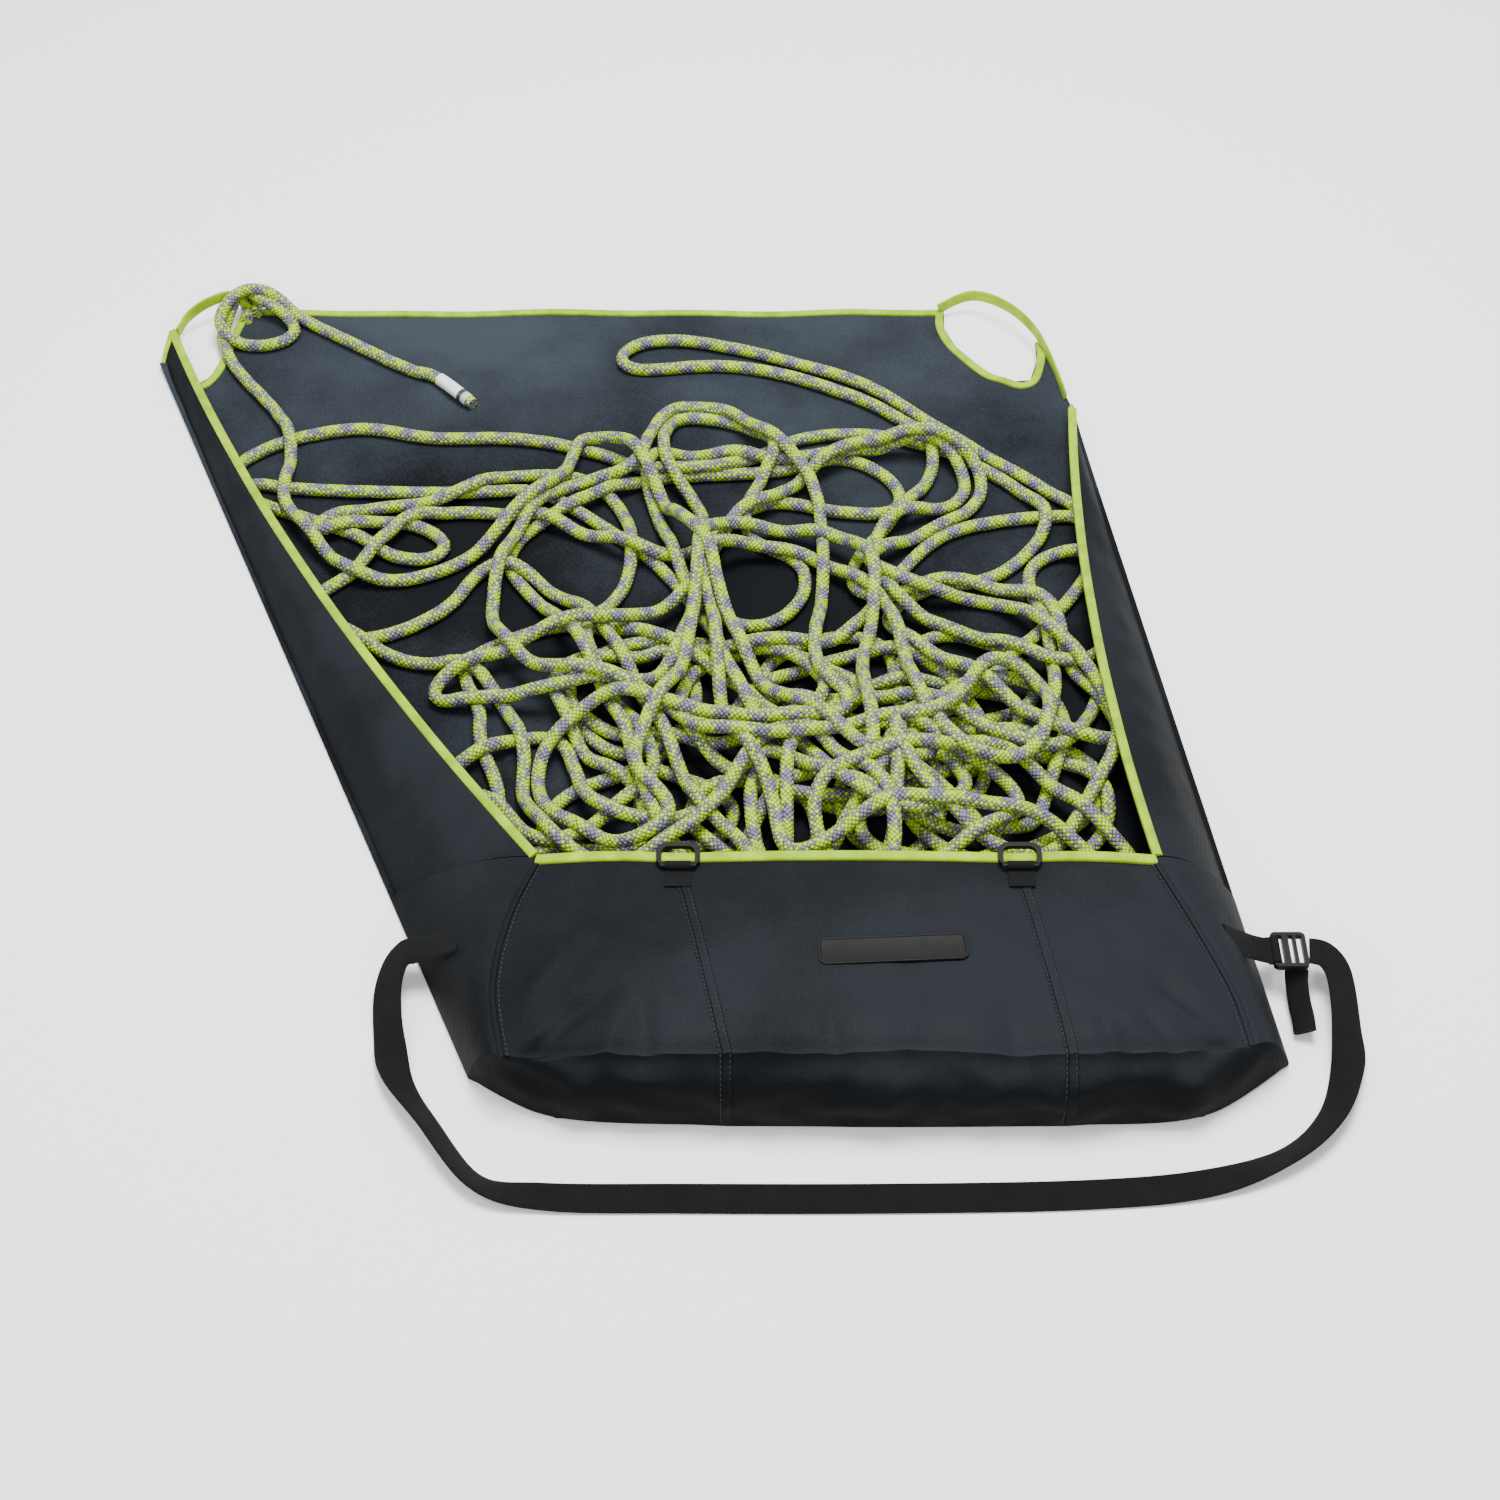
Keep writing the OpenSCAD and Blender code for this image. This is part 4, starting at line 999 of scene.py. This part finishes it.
def make_seams():
    """Lapped seams down the pouch and along its corners, with rows of stitching."""
    rows = []
    for c, name in ((1 / 3, "left"), (2 / 3, "right")):
        for kind, w0, w1 in (("top", 0.02, 1.0), ("front", 1.0, 1.96)):
            line = [pouch_point(c, mix(w0, w1, i / 60)) + Vector((0, -0.3, 0.5))
                    for i in range(61)]
            seam = ribbon(f"seam_{name}_{kind}", line, [RIGHT] * len(line), 7, 1.6)
            finish_piece(seam, "cloth", "bag", ())
            rows.append([p + Vector((-4.8, -0.2, 0.5)) for p in line])
            rows.append([p + Vector((2.2, -0.3, 0.6)) for p in line])
        line = [pouch_point(c, mix(0.03, 0.93, i / 40)) - Vector((0, 0, 4)) for i in range(41)]
        inner = ribbon(f"seam_{name}_inner", line, [RIGHT] * len(line), 16, 1.4)
        finish_piece(inner, "binding", "bag", (f"{name}_seam_tape",))
    for side, name in SIDES:
        line = [pouch_point(0 if side < 0 else 1 - NUDGE, i / 50) + Vector((0, 0, 0.3))
                for i in range(51)]
        seam = ribbon(f"seam_{name}_corner", line, [Vector((1, 0, -side * 0.3))] * len(line),
                      5, 2.2)
        finish_piece(seam, "cloth", "bag", ())
        rows.append([p + Vector((-side * 5, 0, 0.9)) for p in line])
    stitches("stitching_pouch", rows, "bag")


# ---------- patch, strap and fittings ----------
def make_patch(length, width):
    """A blank moulded patch with a raised rim, sewn on the centre panel."""
    x, y, thick, corner, rim, slope, sunk = 32, -101, 4, 6, 1.6, 0.6, 0.9
    clear()
    bpy.ops.mesh.primitive_plane_add(size=1)
    patch = bpy.context.object
    patch.name = "blank_patch"
    patch.scale = (length * MM, width * MM, 1)
    bpy.ops.object.transform_apply(scale=True)
    bpy.ops.object.mode_set(mode="EDIT")
    bpy.ops.mesh.select_all(action="SELECT")
    bpy.ops.mesh.bevel(offset=corner * MM, segments=8, affect="VERTICES")
    bpy.ops.mesh.select_all(action="SELECT")
    bpy.ops.mesh.extrude_region_move(TRANSFORM_OT_translate={"value": (0, 0, thick * MM)})
    bpy.ops.mesh.inset(thickness=rim * MM, depth=0)
    bpy.ops.mesh.inset(thickness=slope * MM, depth=-sunk * MM)
    bpy.ops.mesh.select_all(action="SELECT")
    bpy.ops.mesh.fill_holes(sides=0)
    bpy.ops.mesh.select_all(action="SELECT")
    bpy.ops.mesh.normals_make_consistent(inside=False)
    bpy.ops.object.mode_set(mode="OBJECT")
    modify(patch, "BEVEL", width=0.4 * MM, segments=2, limit_method="ANGLE")
    a, b = pouch_point(0.53, 0.42), pouch_point(0.53, 0.60)
    patch.rotation_euler = (math.atan2(a.z - b.z, a.y - b.y), 0, math.radians(3))
    patch.location = Vector((x, y, (a.z + b.z) / 2 - 0.5)) * MM
    pick(patch)
    bpy.ops.object.transform_apply()
    finish_piece(patch, "patch", "bag", ("name_patch",), 35)


# The strap's route, each point with the direction of its width, from its left anchor on
AXIS_Y, AXIS_Z = -70, 27    # the line that the strap swings about
LEFT_END, RIGHT_END, LOCK_X = -330.6, 321.1, 325.1
LEFT_X, RIGHT_X, FRONT_Y = -350.6, 375.1, -274
STRAP_ROUTE = (
    ((LEFT_END, AXIS_Y, AXIS_Z), (0, 1, 0)),
    ((LEFT_END - 8, AXIS_Y - 1, AXIS_Z - 1), (-0.2, 1, 0)),
    ((LEFT_END - 16, AXIS_Y - 10, AXIS_Z - 6), (-0.8, 0.8, -0.3)),
    ((LEFT_X, AXIS_Y - 32, 14), (-1, 0.3, -0.4)),
    ((LEFT_X + 4, AXIS_Y - 68, 7), (-1, 0, -0.3)),
    ((LEFT_X + 14, AXIS_Y - 105, 7.5), (-1, -0.3, 0.5)),
    ((LEFT_X + 38, AXIS_Y - 142, 9.5), (-0.6, -0.6, 0.8)),
    ((LEFT_X + 78, FRONT_Y + 12, 5.5), (-0.2, -0.9, 0.6)),
    ((LEFT_X + 128, FRONT_Y + 1, 2.5), (0, -1, 0.1)),
    ((LEFT_X + 230, FRONT_Y, 1.5), (0, -1, 0)),
    ((20, FRONT_Y, 1.5), (0, -1, 0)),
    ((RIGHT_X - 210, FRONT_Y + 3, 1.5), (0, -1, 0)),
    ((RIGHT_X - 120, FRONT_Y + 12, 2.5), (0.1, -1, 0.1)),
    ((RIGHT_X - 58, FRONT_Y + 34, 5.5), (0.4, -0.8, 0.6)),
    ((RIGHT_X - 22, FRONT_Y + 66, 8.5), (0.9, -0.5, 0.7)),
    ((RIGHT_X - 4, FRONT_Y + 108, 8.5), (1, 0, 0.3)),
    ((RIGHT_X, AXIS_Y - 62, 13), (1, 0.1, -0.3)),
    ((RIGHT_X + 1, AXIS_Y - 28, 18), (1, 0.1, -0.4)),
    ((RIGHT_X - 2, AXIS_Y - 11, 22), (0.85, 0.5, -0.2)),
    ((RIGHT_X - 10, AXIS_Y - 2, 25.5), (0.4, 0.9, 0)),
    ((LOCK_X + 29, AXIS_Y, AXIS_Z), (0, 1, 0)))
WEB_THICK, FREE_W, FOLD_THICK = 2.2, 18, 6.4
FREE_END = ((343.1, -83.5, 22), (343.1, -90.5, 15), (343.1, -108, 12), (344.1, -120, 11))
FREE_FOLD = ((344.1, -120.4, 11), (344.1, -127, 10.5), (344.1, -133, 9.5))


def make_strap(width):
    """Shoulder strap, its sewn anchors, its free end and the fold at its tip."""
    line = spline([s[0] for s in STRAP_ROUTE], 10)
    wide = spline([s[1] for s in STRAP_ROUTE], 10)
    strap = ribbon("strap", line, wide, width, WEB_THICK)
    finish_piece(strap, "webbing", "strap", ("shoulder_strap",))
    for side, x, climb, node in ((1, LEFT_END, 16, "left_strap_anchor"),
                                 (-1, RIGHT_END, 18, "right_strap_tab")):
        line = spline([(x - side * 1.5, AXIS_Y, AXIS_Z), (x + side * 11, AXIS_Y, AXIS_Z + 4.5),
                       (x + side * 34, AXIS_Y, AXIS_Z + climb)], 6)
        anchor = ribbon(node + "_webbing", line, [REARWARD] * len(line), width, WEB_THICK)
        finish_piece(anchor, "webbing", "bag", (node,))
    for name, node, points, pieces, thick in (
            ("strap_free_end", "strap_tail", FREE_END, 6, WEB_THICK),
            ("strap_free_fold", "strap_end_fold", FREE_FOLD, 4, FOLD_THICK)):
        line = spline(points, pieces)
        end = ribbon(name, line, [Vector((0.85, 0, 0.5))] * len(line), FREE_W, thick)
        finish_piece(end, "webbing", "tail", (node,))


def finish_cad_nodes():
    """Finishes for the moulded and small pieces that are shown as they are."""
    for finish, nodes in (
            ("plastic", ("left_closure_ring", "right_closure_ring", "ladder_lock")),
            ("webbing", ("lock_loop", "left_closure_tab", "right_closure_tab")),
            ("thread", ("strap_bartacks",))):
        for node in nodes:
            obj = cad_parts[node]
            obj.data.materials.clear()
            obj.data.materials.append(finish_of(finish))


# ---------- camera, floor and light ----------
def make_camera():
    """The viewing angle: from the front, looking down at the pouch and sheet."""
    data = bpy.data.cameras.new("camera")
    data.lens = 60
    data.sensor_width = 36
    camera = bpy.data.objects.new("camera", data)
    camera.location = (-0.0745, -1.237, 1.553)
    camera.rotation_euler = (math.radians(42), 0, 0)
    bpy.context.scene.collection.objects.link(camera)
    bpy.context.scene.camera = camera


def make_stage():
    """A plain pale floor and soft studio light."""
    clear()
    bpy.ops.mesh.primitive_plane_add(size=14, location=(0, 0, 0))
    floor = bpy.context.object
    floor.name = "floor"
    m, _, shader = material("floor_paper", 0.9)
    shader.inputs["Base Color"].default_value = (0.92, 0.92, 0.92, 1)
    floor.data.materials.append(m)
    for name, place, size, power, aim in (
            ("key", (0.1, 0.75, 2.9), 1.3, 175, (-0.1, 0.2, 0)),
            ("fill", (-1.9, -0.6, 2.2), 2.4, 30, (0, 0.2, 0)),
            ("front", (0.5, -2.4, 2.2), 2.0, 34, (0, 0, 0))):
        data = bpy.data.lights.new(name, "AREA")
        data.size = size
        data.energy = power
        light = bpy.data.objects.new(name, data)
        light.location = place
        light.rotation_euler = (Vector(aim) - Vector(place)).to_track_quat("-Z", "Y").to_euler()
        bpy.context.scene.collection.objects.link(light)
    world = bpy.data.worlds.new("studio")
    world.use_nodes = True
    world.node_tree.nodes["Background"].inputs[0].default_value = (1, 1, 1, 1)
    world.node_tree.nodes["Background"].inputs[1].default_value = 0.9
    bpy.context.scene.world = world


# ---------- settings, operators and panel ----------
def length_setting(name, description, default, low, high):
    """A length setting, given in millimetres."""
    return FloatProperty(name=name, description=description, default=default * MM,
                         min=low * MM, max=high * MM, precision=4, subtype="DISTANCE",
                         unit="LENGTH")


def colour_setting(name, description, code):
    """A colour setting, given as sRGB hex."""
    return FloatVectorProperty(name=name, description=description, default=linear(code)[:3],
                               size=3, min=0, max=1, subtype="COLOR")


class RopeBagSettings(bpy.types.PropertyGroup):
    """Sizes and colours of the bag and its rope."""
    rope_diameter: length_setting("Rope", "Diameter of the rope", 11.7, 9, 13)
    hidden_turns: IntProperty(name="Hidden turns", default=15, min=0, max=28,
                              description="Loops of rope flaked below those that show")
    binding_width: length_setting("Binding", "Folded width of the edge binding", 8, 6, 12)
    strap_width: length_setting("Strap", "Width of the shoulder webbing", 25, 20, 30)
    patch_length: length_setting("Patch length", "Length of the blank patch", 112, 60, 140)
    patch_width: length_setting("Patch width", "Width of the blank patch", 26, 16, 40)
    lining_colour: colour_setting("Lining", "Inside of the ground sheet", "#262B31")
    cloth_colour: colour_setting("Cloth", "Pouch and side panels", "#15181B")
    binding_colour: colour_setting("Binding colour", "Edge binding", "#8DB000")
    webbing_colour: colour_setting("Webbing", "Shoulder strap", "#090A0B")
    rope_colour: colour_setting("Rope main yarn", "Brighter yarn of the rope", "#B2D42C")
    rope_second_colour: colour_setting("Rope second yarn", "Grey yarn of the rope", "#7E7D90")


class ROPEBAG_OT_rope(bpy.types.Operator):
    """Lay the long rope on the sheet, tie its short end and fit the sleeve"""
    bl_idname = "rope_bag.rope"
    bl_label = "Rope"

    def execute(self, context):
        s = context.scene.rope_bag
        make_rope(s.rope_diameter / MM, s.hidden_turns)
        return {"FINISHED"}


class ROPEBAG_OT_sheet(bpy.types.Operator):
    """Cut the ground sheet and crease its open part"""
    bl_idname = "rope_bag.sheet"
    bl_label = "Ground sheet"

    def execute(self, context):
        make_sheet()
        return {"FINISHED"}


class ROPEBAG_OT_panels(bpy.types.Operator):
    """Make both side panels, which fold up from the sheet"""
    bl_idname = "rope_bag.panels"
    bl_label = "Side panels"

    def execute(self, context):
        make_panels()
        return {"FINISHED"}


class ROPEBAG_OT_pouch(bpy.types.Operator):
    """Make the pouch's top panels, front wall and gussets"""
    bl_idname = "rope_bag.pouch"
    bl_label = "Pouch"

    def execute(self, context):
        make_pouch()
        return {"FINISHED"}


class ROPEBAG_OT_bindings(bpy.types.Operator):
    """Fold neon tape over every cut edge"""
    bl_idname = "rope_bag.bindings"
    bl_label = "Edge bindings"

    def execute(self, context):
        make_bindings(context.scene.rope_bag.binding_width / MM)
        return {"FINISHED"}


class ROPEBAG_OT_loops(bpy.types.Operator):
    """Bridge both cut-outs with a corner loop"""
    bl_idname = "rope_bag.loops"
    bl_label = "Corner loops"

    def execute(self, context):
        make_loops()
        return {"FINISHED"}


class ROPEBAG_OT_seams(bpy.types.Operator):
    """Lap the pouch's seams and stitch them"""
    bl_idname = "rope_bag.seams"
    bl_label = "Seams and stitching"

    def execute(self, context):
        make_seams()
        return {"FINISHED"}


class ROPEBAG_OT_patch(bpy.types.Operator):
    """Mould the blank patch and set it on the pouch"""
    bl_idname = "rope_bag.patch"
    bl_label = "Patch"

    def execute(self, context):
        s = context.scene.rope_bag
        make_patch(s.patch_length / MM, s.patch_width / MM)
        return {"FINISHED"}


class ROPEBAG_OT_strap(bpy.types.Operator):
    """Make the shoulder strap, its anchors and its free end"""
    bl_idname = "rope_bag.strap"
    bl_label = "Strap"

    def execute(self, context):
        make_strap(context.scene.rope_bag.strap_width / MM)
        return {"FINISHED"}


class ROPEBAG_OT_fittings(bpy.types.Operator):
    """Give the rings, ladder lock, tabs and tapes their finishes"""
    bl_idname = "rope_bag.fittings"
    bl_label = "Fittings"

    def execute(self, context):
        finish_cad_nodes()
        return {"FINISHED"}


class ROPEBAG_OT_stage(bpy.types.Operator):
    """Set the camera, floor and light"""
    bl_idname = "rope_bag.stage"
    bl_label = "Stage"

    def execute(self, context):
        make_camera()
        make_stage()
        return {"FINISHED"}


STEPS = (ROPEBAG_OT_rope, ROPEBAG_OT_sheet, ROPEBAG_OT_panels, ROPEBAG_OT_pouch,
         ROPEBAG_OT_bindings, ROPEBAG_OT_loops, ROPEBAG_OT_seams, ROPEBAG_OT_patch,
         ROPEBAG_OT_strap, ROPEBAG_OT_fittings, ROPEBAG_OT_stage)


class ROPEBAG_PT_panel(bpy.types.Panel):
    """The bag's settings and the steps that build it"""
    bl_idname = "ROPEBAG_PT_panel"
    bl_label = "Rope Bag"
    bl_space_type = "VIEW_3D"
    bl_region_type = "UI"
    bl_category = "Rope Bag"

    def draw(self, context):
        for key in RopeBagSettings.__annotations__:
            self.layout.prop(context.scene.rope_bag, key)
        for step in STEPS:
            self.layout.operator(step.bl_idname)


CLASSES = (RopeBagSettings, *STEPS, ROPEBAG_PT_panel)


def register():
    for cls in CLASSES:
        bpy.utils.register_class(cls)
    bpy.types.Scene.rope_bag = PointerProperty(type=RopeBagSettings)


def unregister():
    del bpy.types.Scene.rope_bag
    for cls in reversed(CLASSES):
        bpy.utils.unregister_class(cls)


def main():
    """Builds everything in order."""
    register()
    steps = bpy.ops.rope_bag
    steps.rope()
    steps.sheet()
    steps.panels()
    steps.pouch()
    steps.bindings()
    steps.loops()
    steps.seams()
    steps.patch()
    steps.strap()
    steps.fittings()
    steps.stage()


if __name__ == "__main__":
    main()
